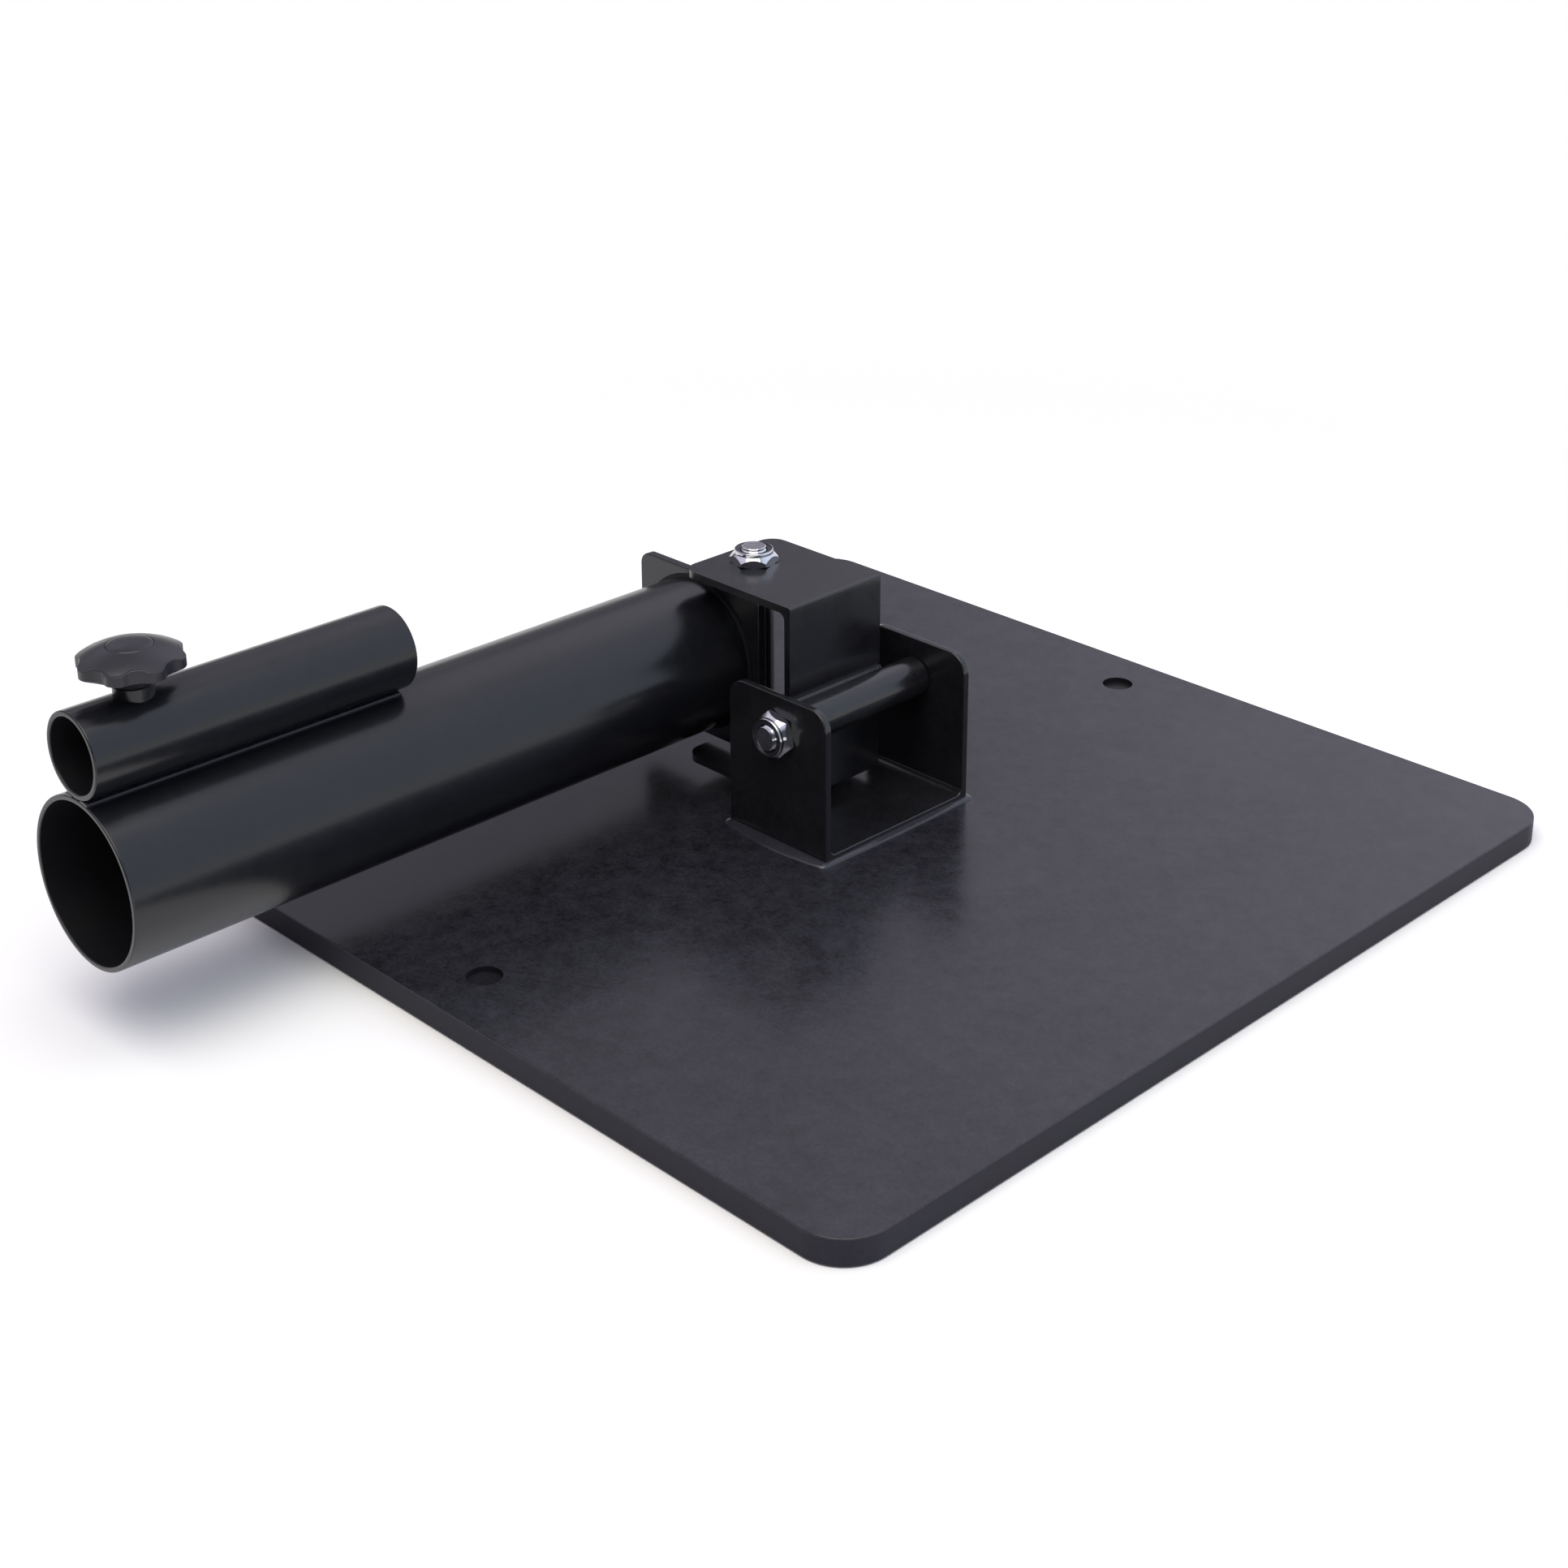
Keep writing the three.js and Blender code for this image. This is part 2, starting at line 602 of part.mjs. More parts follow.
// Upper and lower bead between the pivot sleeve and the web of the yoke
function pivotWelds() {
  const length = YOKE_WIDTH - PIVOT_WELD_END_SETBACK * 2;
  const bead = cornerBead(
    PIVOT_SLEEVE_RADIUS,
    PIVOT_WELD_WEB_SHARE,
    PIVOT_WELD_TOP_SHARE,
    PIVOT_WELD_BULGE_SHARE,
    length,
  );
  const upper = piece('pivot_weld_upper', laidAlongY(bead), WELD_COAT);
  const lower = piece('pivot_weld_lower', laidAlongY(bead.mirror([0, 1, 0])), WELD_COAT);
  return [upper, lower];
}

// Profile of the folded C, seen along Y, its web on the right
function yokeProfile() {
  const [left, right] = [YOKE_WEB_X - YOKE_DEPTH, YOKE_WEB_X];
  const [low, high] = [-YOKE_DROP, YOKE_HEIGHT - YOKE_DROP];
  const sheet = YOKE_SHEET;
  return roundedOutline([
    [left, low, 0],
    [right, low, YOKE_OUTER_BEND],
    [right, high, YOKE_OUTER_BEND],
    [left, high, 0],
    [left, high - sheet, 0],
    [right - sheet, high - sheet, YOKE_INNER_BEND],
    [right - sheet, low + sheet, YOKE_INNER_BEND],
    [left, low + sheet, 0],
  ]);
}

// Yoke with rounded free corners and a hole for the swivel bolt in both flanges
function yokeBracket() {
  const half = YOKE_WIDTH / 2;
  const bent = laidAlongY(roundedPrism(yokeProfile(), -half, half, SHEET_EDGE_ROUNDING));
  const [left, right] = [YOKE_WEB_X - YOKE_DEPTH, YOKE_WEB_X + CUT_OVERRUN];
  const plan = roundedOutline([
    [left, -half, YOKE_CORNER_RADIUS],
    [right, -half, 0],
    [right, half, 0],
    [left, half, YOKE_CORNER_RADIUS],
  ]);
  const [low, high] = [-YOKE_DROP - CUT_OVERRUN, YOKE_HEIGHT - YOKE_DROP + CUT_OVERRUN];
  const hole = bar(BOLT_HOLE_RADIUS, low, high, BOLT_FACETS).translate([SWIVEL_X, 0, 0]);
  const solid = bent.intersect(prism(plan, low, high)).subtract(hole);
  return piece('yoke_bracket', solid, DARK_COAT);
}

// Upright swivel bolt, its head under the lower flange on a thin washer
function swivelBolt() {
  const shank = SWIVEL_HEAD_WASHER_THICKNESS + YOKE_HEIGHT + NUT_HEIGHT + BOLT_TIP_REACH;
  const mesh = piece('swivel_bolt', hexBolt(shank), BRIGHT_ZINC);
  mesh.position.set(SWIVEL_X, 0, -YOKE_DROP - SWIVEL_HEAD_WASHER_THICKNESS);
  return mesh;
}

// Thin washer between the swivel bolt's head and the lower flange
function swivelHeadWasher() {
  const outer = SWIVEL_HEAD_WASHER_DIAMETER / 2;
  const hole = BOLT_HOLE_RADIUS;
  const low = -SWIVEL_HEAD_WASHER_THICKNESS;
  const solid = ring([[hole, low], [outer, low], [outer, 0], [hole, 0]], BOLT_FACETS);
  const mesh = piece('swivel_bolt_washer', solid, BRIGHT_ZINC);
  mesh.position.set(SWIVEL_X, 0, -YOKE_DROP);
  return mesh;
}

// Nut and nylon ring on the upper flange
function swivelNutPair() {
  const nut = piece('swivel_nut', lockNut(), BRIGHT_ZINC);
  const insert = piece('swivel_nut_insert', nutInsert(), PALE_NYLON);
  const pair = new THREE.Group();
  pair.name = 'swivel_nut_pair';
  pair.add(nut, insert);
  pair.position.set(SWIVEL_X, 0, YOKE_HEIGHT - YOKE_DROP);
  nut.rotation.z = THREE.MathUtils.degToRad(SWIVEL_NUT_TURN_DEGREES);
  insert.rotation.z = nut.rotation.z;
  return pair;
}

// Sleeve on the swivel bolt, between the flanges of the yoke
function swivelSleeve() {
  const half = SWIVEL_SLEEVE_LENGTH / 2;
  const [hole, outer] = [BOLT_HOLE_RADIUS, SWIVEL_SLEEVE_RADIUS];
  const solid = ring([[hole, -half], [outer, -half], [outer, half], [hole, half]], SLEEVE_FACETS);
  return piece('swivel_sleeve', solid, DARK_COAT);
}

// Two beads between the swivel sleeve and the end plate
function swivelWelds() {
  const bead = cornerBead(
    SWIVEL_SLEEVE_RADIUS,
    SWIVEL_WELD_PLATE_SHARE,
    SWIVEL_WELD_SIDE_SHARE,
    SWIVEL_WELD_BULGE_SHARE,
    END_PLATE_HEIGHT * SWIVEL_WELD_LENGTH_SHARE,
  );
  const left = piece('swivel_weld_left', bead.mirror([0, 1, 0]).rotate([0, 0, 90]), WELD_COAT);
  const right = piece('swivel_weld_right', bead.rotate([0, 0, 90]), WELD_COAT);
  return [left, right];
}

// Square plate that closes the large tube and carries the swivel sleeve
function tubeEndPlate() {
  const shape = rectangle(
    END_PLATE_X,
    END_PLATE_Z,
    END_PLATE_WIDTH,
    END_PLATE_HEIGHT,
    END_PLATE_CORNER_RADIUS,
  );
  const solid = roundedPrism(shape, -END_PLATE_BACK, -END_PLATE_FRONT, END_PLATE_EDGE_ROUNDING);
  return piece('tube_end_plate', laidAlongY(solid), DARK_COAT);
}

// Tube along Z from 0, with the rims of both ends rounded
function openTube(outer, wall, length) {
  const inner = outer - wall;
  const rim = TUBE_RIM_ROUNDING;
  return ring([
    [inner, rim],
    [inner + rim, 0],
    [outer - rim, 0],
    [outer, rim],
    [outer, length - rim],
    [outer - rim, length],
    [inner + rim, length],
    [inner, length - rim],
  ], TUBE_FACETS);
}

// Large tube for a thick bar sleeve
function mainTube() {
  const inner = MAIN_TUBE_RADIUS - MAIN_TUBE_WALL;
  const rim = TUBE_RIM_ROUNDING;
  const length = MAIN_TUBE_LENGTH;
  const solid = ring([
    [inner, rim],
    [inner + rim, 0],
    [MAIN_TUBE_RADIUS - rim, 0],
    [MAIN_TUBE_RADIUS, rim],
    [MAIN_TUBE_RADIUS, length],
    [inner, length],
  ], LARGE_FACETS);
  const mesh = piece('main_tube', solid, TUBE_COAT);
  mesh.position.set(MAIN_TUBE_X, TUBE_MOUTH_Y, 0);
  mesh.rotation.x = -QUARTER_TURN;
  return mesh;
}

// Fillet weld between the large tube and the end plate
function mainTubeWeld() {
  const leg = MAIN_TUBE_WELD_LEG;
  const root = MAIN_TUBE_RADIUS;
  const bulge = leg * MAIN_TUBE_WELD_BULGE_SHARE;
  const solid = ring([
    [root - leg / 2, -leg],
    [root, -leg],
    [root + bulge, -bulge],
    [root + leg, 0],
    [root - leg / 2, 0],
  ], LARGE_FACETS).subtract(bar(root, -leg - CUT_OVERRUN, CUT_OVERRUN, LARGE_FACETS));
  const mesh = piece('main_tube_weld', solid, WELD_COAT);
  mesh.position.set(MAIN_TUBE_X, END_PLATE_FRONT, 0);
  mesh.rotation.x = -QUARTER_TURN;
  return mesh;
}

// Small tube for a thin bar, with a hole for the clamp stud in its crest
function smallTube() {
  const body = laidAlongY(openTube(SMALL_TUBE_RADIUS, SMALL_TUBE_WALL, SMALL_TUBE_LENGTH));
  const placed = body.translate([0, SMALL_TUBE_LENGTH, 0]);
  const hole = bar(STUD_DIAMETER / 2 + HOLE_GAP, 0, SMALL_TUBE_DIAMETER, BOLT_FACETS);
  const solid = placed.subtract(hole.translate([0, KNOB_MOUTH_DISTANCE, 0]));
  const mesh = piece('small_tube', solid, TUBE_COAT);
  mesh.position.set(MAIN_TUBE_X, TUBE_MOUTH_Y, SMALL_TUBE_Z);
  return mesh;
}

// Threaded boss on the crest of the small tube, coped to fit its round
function knobBoss() {
  const radius = BOSS_DIAMETER / 2;
  const crest = SMALL_TUBE_RADIUS;
  const rounding = KNOB_RIM_ROUNDING / 2;
  const blank = turned([
    [0, crest / 2],
    [radius, crest / 2],
    [radius, crest + BOSS_HEIGHT - rounding],
    [radius - rounding, crest + BOSS_HEIGHT],
    [0, crest + BOSS_HEIGHT],
  ], BOLT_FACETS);
  const tubeRound = laidAlongY(bar(SMALL_TUBE_RADIUS, -BOSS_DIAMETER, BOSS_DIAMETER, TUBE_FACETS));
  const hole = bar(STUD_DIAMETER / 2 + HOLE_GAP, 0, SMALL_TUBE_DIAMETER, BOLT_FACETS);
  const mesh = piece('knob_boss', blank.subtract(tubeRound).subtract(hole), TUBE_COAT);
  mesh.position.set(MAIN_TUBE_X, KNOB_Y, SMALL_TUBE_Z);
  return mesh;
}

// Weld strips in the two corners between the tubes
function smallTubeWelds() {
  const half = TUBE_STRIP_HALF_WIDTH;
  const floor = Math.sqrt(MAIN_TUBE_RADIUS ** 2 - half ** 2);
  const roof = SMALL_TUBE_Z - Math.sqrt(SMALL_TUBE_RADIUS ** 2 - TUBE_STRIP_TOP_EDGE ** 2);
  const side = floor + TUBE_STRIP_SIDE_HEIGHT;
  const section = outline([
    [TUBE_STRIP_ROOT, MAIN_TUBE_RADIUS - CUT_OVERRUN],
    [half, MAIN_TUBE_RADIUS - CUT_OVERRUN],
    [half, side],
    [TUBE_STRIP_TOP_EDGE, roof],
    [TUBE_STRIP_ROOT, roof],
  ]);
  const length = SMALL_TUBE_LENGTH - TUBE_STRIP_END_SETBACK;
  const reach = SMALL_TUBE_LENGTH;
  const lower = laidAlongY(bar(MAIN_TUBE_RADIUS, -reach, reach, LARGE_FACETS));
  const upper = laidAlongY(bar(SMALL_TUBE_RADIUS, -reach, reach, TUBE_FACETS));
  const strip = laidAlongY(prism(section, -length, 0))
    .subtract(lower)
    .subtract(upper.translate([0, 0, SMALL_TUBE_Z]));
  return [['right', strip], ['left', strip.mirror([1, 0, 0])]].map(([hand, solid]) => {
    const mesh = piece(`small_tube_weld_${hand}`, solid, WELD_COAT);
    mesh.position.set(MAIN_TUBE_X, TUBE_MOUTH_Y, 0);
    return mesh;
  });
}

// Radius of the ball that the crown of the knob follows
function domeRadius() {
  const rim = KNOB_DIAMETER / 2;
  const rise = KNOB_CROWN_HEIGHT - KNOB_RIM_TOP;
  return (rim ** 2 + rise ** 2) / (rise * 2);
}

// Height of the knob's crown at a radius
function domeHeight(radius) {
  const ball = domeRadius();
  return KNOB_CROWN_HEIGHT - ball + Math.sqrt(ball ** 2 - radius ** 2);
}

// One layer of the lobed column that the knob is cut from, its valleys sunk a little deeper
function knobLayer(inset, sink, height) {
  const points = [];
  const count = LOBE_COUNT * LOBE_FACETS;
  const turn = THREE.MathUtils.degToRad(KNOB_LOBE_TURN_DEGREES);
  for (let i = 0; i < count; i += 1) {
    const angle = (i * Math.PI * 2) / count;
    const wave = Math.tanh(LOBE_FLATNESS * Math.cos(LOBE_COUNT * angle)) / Math.tanh(LOBE_FLATNESS);
    const radius = KNOB_DIAMETER / 2 - inset - ((KNOB_LOBE_DEPTH + sink) * (1 - wave)) / 2;
    points.push([radius * Math.cos(angle + turn), radius * Math.sin(angle + turn), height]);
  }
  return points;
}

// Knob with a conical underside, a lobed rim and a domed crown
function knobBody() {
  const rim = KNOB_DIAMETER / 2;
  const valley = rim - KNOB_LOBE_DEPTH;
  const foot = KNOB_FOOT_DIAMETER / 2;
  const capSeat = KNOB_CAP_DIAMETER / 2 + HOLE_GAP / 2;
  const rounding = KNOB_RIM_ROUNDING;
  const profile = [
    [0, 0],
    [foot - rounding, 0],
    [foot, rounding / 2],
    [valley - rounding, KNOB_RIM_BOTTOM],
    [rim + CUT_OVERRUN, KNOB_RIM_BOTTOM],
    [rim + CUT_OVERRUN, KNOB_RIM_TOP],
  ];
  for (let i = 0; i <= DOME_FACETS; i += 1) {
    const radius = rim * (1 - i / DOME_FACETS);
    profile.push([radius, domeHeight(radius)]);
  }
  const blank = turned(profile, LOBE_COUNT * LOBE_FACETS);
  const rollFoot = KNOB_RIM_TOP + KNOB_LOBE_ROLL_RISE;
  const lobes = stacked([
    knobLayer(rounding, 0, -CUT_OVERRUN),
    knobLayer(rounding, 0, KNOB_RIM_BOTTOM),
    knobLayer(0, 0, KNOB_RIM_BOTTOM + rounding),
    knobLayer(0, 0, KNOB_RIM_TOP - rounding),
    knobLayer(rounding, 0, KNOB_RIM_TOP + rounding / 2),
    knobLayer(rounding, 0, rollFoot),
    knobLayer(rounding, KNOB_LOBE_ROLL, rollFoot + KNOB_LOBE_ROLL_HEIGHT),
    knobLayer(rounding, KNOB_LOBE_ROLL, KNOB_CROWN_HEIGHT + CUT_OVERRUN),
  ]);
  const socket = bar(STUD_DIAMETER / 2 + HOLE_GAP, -CUT_OVERRUN, STUD_SOCKET_DEPTH, BOLT_FACETS);
  const seatFloor = KNOB_CROWN_HEIGHT - KNOB_CAP_DEPTH;
  const seat = bar(capSeat, seatFloor, KNOB_CROWN_HEIGHT + CUT_OVERRUN, SLEEVE_FACETS);
  return piece('knob_body', blank.intersect(lobes).subtract(socket).subtract(seat), DARK_PLASTIC);
}

// Round cap pressed into the crown of the knob
function knobCap() {
  const radius = KNOB_CAP_DIAMETER / 2;
  const floor = KNOB_CROWN_HEIGHT - KNOB_CAP_DEPTH;
  const edge = domeHeight(radius) + KNOB_CAP_PROUD;
  const rounded = radius - KNOB_CAP_ROUNDING;
  const solid = turned([
    [0, floor],
    [radius, floor],
    [radius, edge - KNOB_CAP_ROUNDING],
    [rounded, domeHeight(rounded) + KNOB_CAP_PROUD],
    [radius / 2, domeHeight(radius / 2) + KNOB_CAP_PROUD],
    [0, domeHeight(0) + KNOB_CAP_PROUD],
  ], SLEEVE_FACETS);
  return piece('knob_cap', solid, DARK_PLASTIC);
}

// Depth of the stud's tip below the knob's foot
function studReach() {
  return SMALL_TUBE_WALL + BOSS_HEIGHT + KNOB_REST_GAP + CLAMP_STROKE - STUD_PAD_HEIGHT;
}

// Steel stud fixed in the knob
function knobStud() {
  const radius = STUD_DIAMETER / 2;
  const tip = -studReach();
  const solid = turned([
    [0, tip],
    [radius - BOLT_TIP_CHAMFER, tip],
    [radius, tip + BOLT_TIP_CHAMFER],
    [radius, STUD_SOCKET_DEPTH],
    [0, STUD_SOCKET_DEPTH],
  ], BOLT_FACETS);
  const pocketTop = tip + STUD_PAD_STEM_LENGTH + HOLE_GAP;
  const pocket = bar(STUD_PAD_STEM_DIAMETER / 2 + HOLE_GAP, tip - CUT_OVERRUN, pocketTop, BOLT_FACETS);
  return piece('knob_stud', solid.subtract(pocket), BRIGHT_ZINC);
}

// Pressure pad on the stud's tip, which slides without turning
function knobPad() {
  const radius = STUD_PAD_DIAMETER / 2;
  const stem = STUD_PAD_STEM_DIAMETER / 2;
  const top = -studReach();
  const low = top - STUD_PAD_HEIGHT;
  const solid = turned([
    [0, low],
    [radius - STUD_PAD_ROUNDING, low],
    [radius, low + STUD_PAD_ROUNDING],
    [radius, top],
    [stem, top],
    [stem, top + STUD_PAD_STEM_LENGTH],
    [0, top + STUD_PAD_STEM_LENGTH],
  ], BOLT_FACETS);
  return piece('knob_pad', solid, PALE_NYLON);
}

// Standing pieces
function baseGroup() {
  const group = new THREE.Group();
  group.name = 'base_group';
  const clevis = new THREE.Group();
  clevis.name = 'clevis_group';
  clevis.position.set(CLEVIS_SHIFT_X, CLEVIS_SHIFT_Y, PLATE_THICKNESS);
  clevis.add(clevisBracket(), clevisWeld(), pivotBolt(), pivotNutPair());
  group.add(basePlate(), clevis);
  return group;
}

// Knob pieces, about the knob's axis from the top of the boss
function knobGroup() {
  const group = new THREE.Group();
  group.name = 'knob_group';
  const seat = SMALL_TUBE_Z + SMALL_TUBE_RADIUS + BOSS_HEIGHT + KNOB_REST_GAP;
  group.position.set(MAIN_TUBE_X, KNOB_Y, seat);
  group.add(knobBody(), knobCap(), knobStud(), knobPad());
  return group;
}

// Swivelling pieces, about the swivel axis at the middle of the yoke
function tubeGroup() {
  const group = new THREE.Group();
  group.name = 'tube_group';
  group.position.set(SWIVEL_X, 0, YOKE_MIDDLE_Z);
  group.add(swivelSleeve(), ...swivelWelds(), tubeEndPlate());
  group.add(mainTube(), mainTubeWeld(), smallTube(), ...smallTubeWelds(), knobBoss());
  group.add(knobGroup());
  return group;
}

// Tilting pieces, about the pivot axis
function yokeGroup() {
  const group = new THREE.Group();
  group.name = 'yoke_group';
  group.position.set(PIVOT_X, CLEVIS_SHIFT_Y, PIVOT_Z);
  group.add(pivotSleeve(), ...pivotWelds(), yokeBracket());
  group.add(swivelBolt(), swivelHeadWasher(), swivelNutPair());
  group.add(tubeGroup());
  return group;
}

const attachment = new THREE.Group();
attachment.name = 'barbell_pivot_attachment';
attachment.add(baseGroup(), yokeGroup());

export default attachment;
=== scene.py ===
# Barbell pivot attachment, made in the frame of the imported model: metres, +Z up, origin under the plate.

import math

import bpy
from mathutils import Euler, Matrix, Vector


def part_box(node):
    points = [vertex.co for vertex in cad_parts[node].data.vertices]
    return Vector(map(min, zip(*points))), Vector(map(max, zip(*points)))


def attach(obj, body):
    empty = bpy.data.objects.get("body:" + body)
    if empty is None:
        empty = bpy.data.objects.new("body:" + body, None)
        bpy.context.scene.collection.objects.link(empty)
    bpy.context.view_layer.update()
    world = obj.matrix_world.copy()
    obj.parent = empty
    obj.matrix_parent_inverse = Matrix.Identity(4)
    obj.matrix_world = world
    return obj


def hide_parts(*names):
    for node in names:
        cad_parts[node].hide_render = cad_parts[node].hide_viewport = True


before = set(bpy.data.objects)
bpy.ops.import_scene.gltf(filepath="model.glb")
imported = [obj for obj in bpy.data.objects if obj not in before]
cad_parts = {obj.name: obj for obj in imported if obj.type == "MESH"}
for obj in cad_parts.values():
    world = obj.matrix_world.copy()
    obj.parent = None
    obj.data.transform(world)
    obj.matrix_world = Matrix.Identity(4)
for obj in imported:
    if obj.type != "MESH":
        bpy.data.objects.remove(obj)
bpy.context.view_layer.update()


# Floor plate
# A square of 10 mm mild steel, laser cut with round corners, its rims broken and its faces powder coated black.
# Two shallow round recesses are milled near opposite edges. The top is scuffed by the weights laid on it.
MM = 0.001
TOUCH = 0.02 * MM
PLATE_CORNER_RADIUS = 18 * MM
PLATE_RIM_ROUNDING = 0.4 * MM
CUT_SIDE_SPAN = 1.5 * MM
RECESS_RADIUS = 6.5 * MM
RECESS_DEPTH = 2.2 * MM
RECESS_EDGE_DISTANCE = 24 * MM
RECESS_SIDE_SHIFT = 2 * MM
PATCH_SIZE = 50 * MM
WISP_SIZE = 7.7 * MM
PEEL_SIZE = 1.18 * MM
PEEL_DEPTH = 0.06 * MM


def clear():
    bpy.ops.object.select_all(action="DESELECT")


def choose(piece):
    clear()
    piece.select_set(True)
    bpy.context.view_layer.objects.active = piece


def named(name):
    piece = bpy.context.object
    piece.name = name
    piece.data.name = name
    bpy.ops.object.transform_apply(location=True, rotation=True, scale=True)
    return piece


def block(name, low, high):
    clear()
    bpy.ops.mesh.primitive_cube_add(size=1, location=(Vector(low) + Vector(high)) / 2)
    bpy.context.object.scale = Vector(high) - Vector(low)
    return named(name)


def near(value, target):
    return abs(value - target) < TOUCH


def lies(points, axis, *places):
    return any(all(near(getattr(p, axis), place) for p in points) for place in places)


def runs(points, axis):
    return abs(getattr(points[0], axis) - getattr(points[1], axis)) > MM


def pick(piece, kind, test):
    choose(piece)
    bpy.ops.object.mode_set(mode="EDIT")
    bpy.ops.mesh.select_mode(type=kind)
    bpy.ops.mesh.select_all(action="DESELECT")
    bpy.ops.object.mode_set(mode="OBJECT")
    mesh = piece.data
    for part in {"EDGE": mesh.edges, "FACE": mesh.polygons}[kind]:
        part.select = test([mesh.vertices[i].co for i in part.vertices])
    bpy.ops.object.mode_set(mode="EDIT")


def round_edges(piece, test, radius, steps):
    pick(piece, "EDGE", test)
    bpy.ops.mesh.bevel(offset=radius, segments=steps, affect="EDGES")
    bpy.ops.object.mode_set(mode="OBJECT")


def apply(piece, kind, **settings):
    choose(piece)
    modifier = piece.modifiers.new(kind.title(), kind)
    for key, value in settings.items():
        setattr(modifier, key, value)
    bpy.ops.object.modifier_apply(modifier=modifier.name)


def break_rims(piece, radius, steps=3, angle=40):
    apply(piece, "BEVEL", width=radius, segments=steps, limit_method="ANGLE", angle_limit=math.radians(angle))


def round_bar(name, radius, start, end, sides):
    clear()
    start, end = Vector(start), Vector(end)
    run = end - start
    bpy.ops.mesh.primitive_cylinder_add(
        vertices=sides,
        radius=radius,
        depth=run.length,
        location=(start + end) / 2,
        rotation=run.to_track_quat("Z", "Y").to_euler(),
    )
    return named(name)


def cut(piece, cutter, operation="DIFFERENCE"):
    apply(piece, "BOOLEAN", object=cutter, operation=operation, solver="EXACT")
    bpy.data.objects.remove(cutter)


def drill(piece, radius, start, end, sides=64):
    cut(piece, round_bar("drill", radius, start, end, sides))


def smooth(piece, angle):
    choose(piece)
    bpy.ops.object.shade_smooth_by_angle(angle=math.radians(angle))
    apply(piece, "WEIGHTED_NORMAL", keep_sharp=True)


def hand_over(piece, body, node, material, angle=32):
    smooth(piece, angle)
    piece.data.materials.clear()
    piece.data.materials.append(material)
    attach(piece, body)
    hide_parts(node)


def coat_faces(piece, material, test):
    piece.data.materials.append(material)
    pick(piece, "FACE", test)
    piece.active_material_index = len(piece.data.materials) - 1
    bpy.ops.object.material_slot_assign()
    bpy.ops.object.mode_set(mode="OBJECT")


def linear(code):
    parts = [int(code[i : i + 2], 16) / 255 for i in (0, 2, 4)]
    return (*[c / 12.92 if c <= 0.04045 else ((c + 0.055) / 1.055) ** 2.4 for c in parts], 1.0)


def new_material(name):
    material = bpy.data.materials.new(name)
    material.use_nodes = True
    material.node_tree.nodes.clear()
    return material


def add(material, kind, inputs=(), **settings):
    tree = material.node_tree
    node = tree.nodes.new(kind)
    for key, value in settings.items():
        setattr(node, key, value)
    for key, value in dict(inputs).items():
        if isinstance(value, bpy.types.NodeSocket):
            tree.links.new(value, node.inputs[key])
        else:
            node.inputs[key].default_value = value
    return node


# Powder coat is a baked plastic skin on the steel. It gives the eye a satin black with a faint ripple in its shine,
# rubbed paler and drier in patches and wisps.
def powder_coat(name, colour, rubbed, roughness, rubbed_extra, peel_strength, ior=1.5, ripple=None):
    material = new_material(name)
    place = add(material, "ShaderNodeTexCoord").outputs["Object"]
    patch = add(
        material,
        "ShaderNodeTexNoise",
        {"Vector": place, "Scale": 1 / PATCH_SIZE, "Detail": 5.0, "Roughness": 0.6},
    )
    # Wisps are left by wiping and handling, and are frayed at their edges
    wisp = add(
        material,
        "ShaderNodeTexNoise",
        {"Vector": place, "Scale": 1 / WISP_SIZE, "Detail": 9.0, "Roughness": 0.76, "Distortion": 0.4},
    )
    # The orange peel of the baked coat also holds the dust
    peel = add(
        material,
        "ShaderNodeTexNoise",
        {"Vector": place, "Scale": 1 / PEEL_SIZE, "Detail": 3.0, "Roughness": 0.65},
    )
    level = 0.0
    for noise, share in ((patch, 0.2), (wisp, 0.48), (peel, 0.32)):
        level = add(
            material,
            "ShaderNodeMath",
            {0: noise.outputs["Fac"], 1: share, 2: level},
            operation="MULTIPLY_ADD",
        ).outputs["Value"]
    wear = add(material, "ShaderNodeMapRange", {"Value": level, "From Min": 0.37, "From Max": 0.62}).outputs["Result"]
    # Sockets 6 and 7 of a Mix node take its two colours, and socket 2 gives the mixed one
    tone = add(material, "ShaderNodeMix", {0: wear, 6: linear(colour), 7: linear(rubbed)}, data_type="RGBA")
    dry = add(material, "ShaderNodeMath", {0: wear, 1: rubbed_extra, 2: roughness}, operation="MULTIPLY_ADD")
    skin = add(
        material,
        "ShaderNodeBump",
        {"Height": peel.outputs["Fac"], "Strength": peel_strength, "Distance": PEEL_DEPTH},
    )
    if ripple is not None:
        skin = ripple(material, place, skin)
    shader = add(
        material,
        "ShaderNodeBsdfPrincipled",
        {
            "Base Color": tone.outputs[2],
            "Roughness": dry.outputs["Value"],
            "Normal": skin.outputs["Normal"],
            "IOR": ior,
        },
    )
    add(material, "ShaderNodeOutputMaterial", {"Surface": shader.outputs["BSDF"]})
    return material


plate_low, plate_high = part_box("base_plate")
floor_plate = block("floor_plate", plate_low, plate_high)
round_edges(floor_plate, lambda ps: runs(ps, "z"), PLATE_CORNER_RADIUS, steps=16)
break_rims(floor_plate, PLATE_RIM_ROUNDING)
recess_floor = plate_high.z - RECESS_DEPTH
for edge in (-1, 1):
    reach = (plate_high.y - RECESS_EDGE_DISTANCE) * edge
    drill(
        floor_plate,
        RECESS_RADIUS,
        (RECESS_SIDE_SHIFT, reach, recess_floor),
        (RECESS_SIDE_SHIFT, reach, plate_high.z + RECESS_DEPTH),
        sides=72,
    )


def stands(points):
    return max(p.z for p in points) - min(p.z for p in points) > CUT_SIDE_SPAN


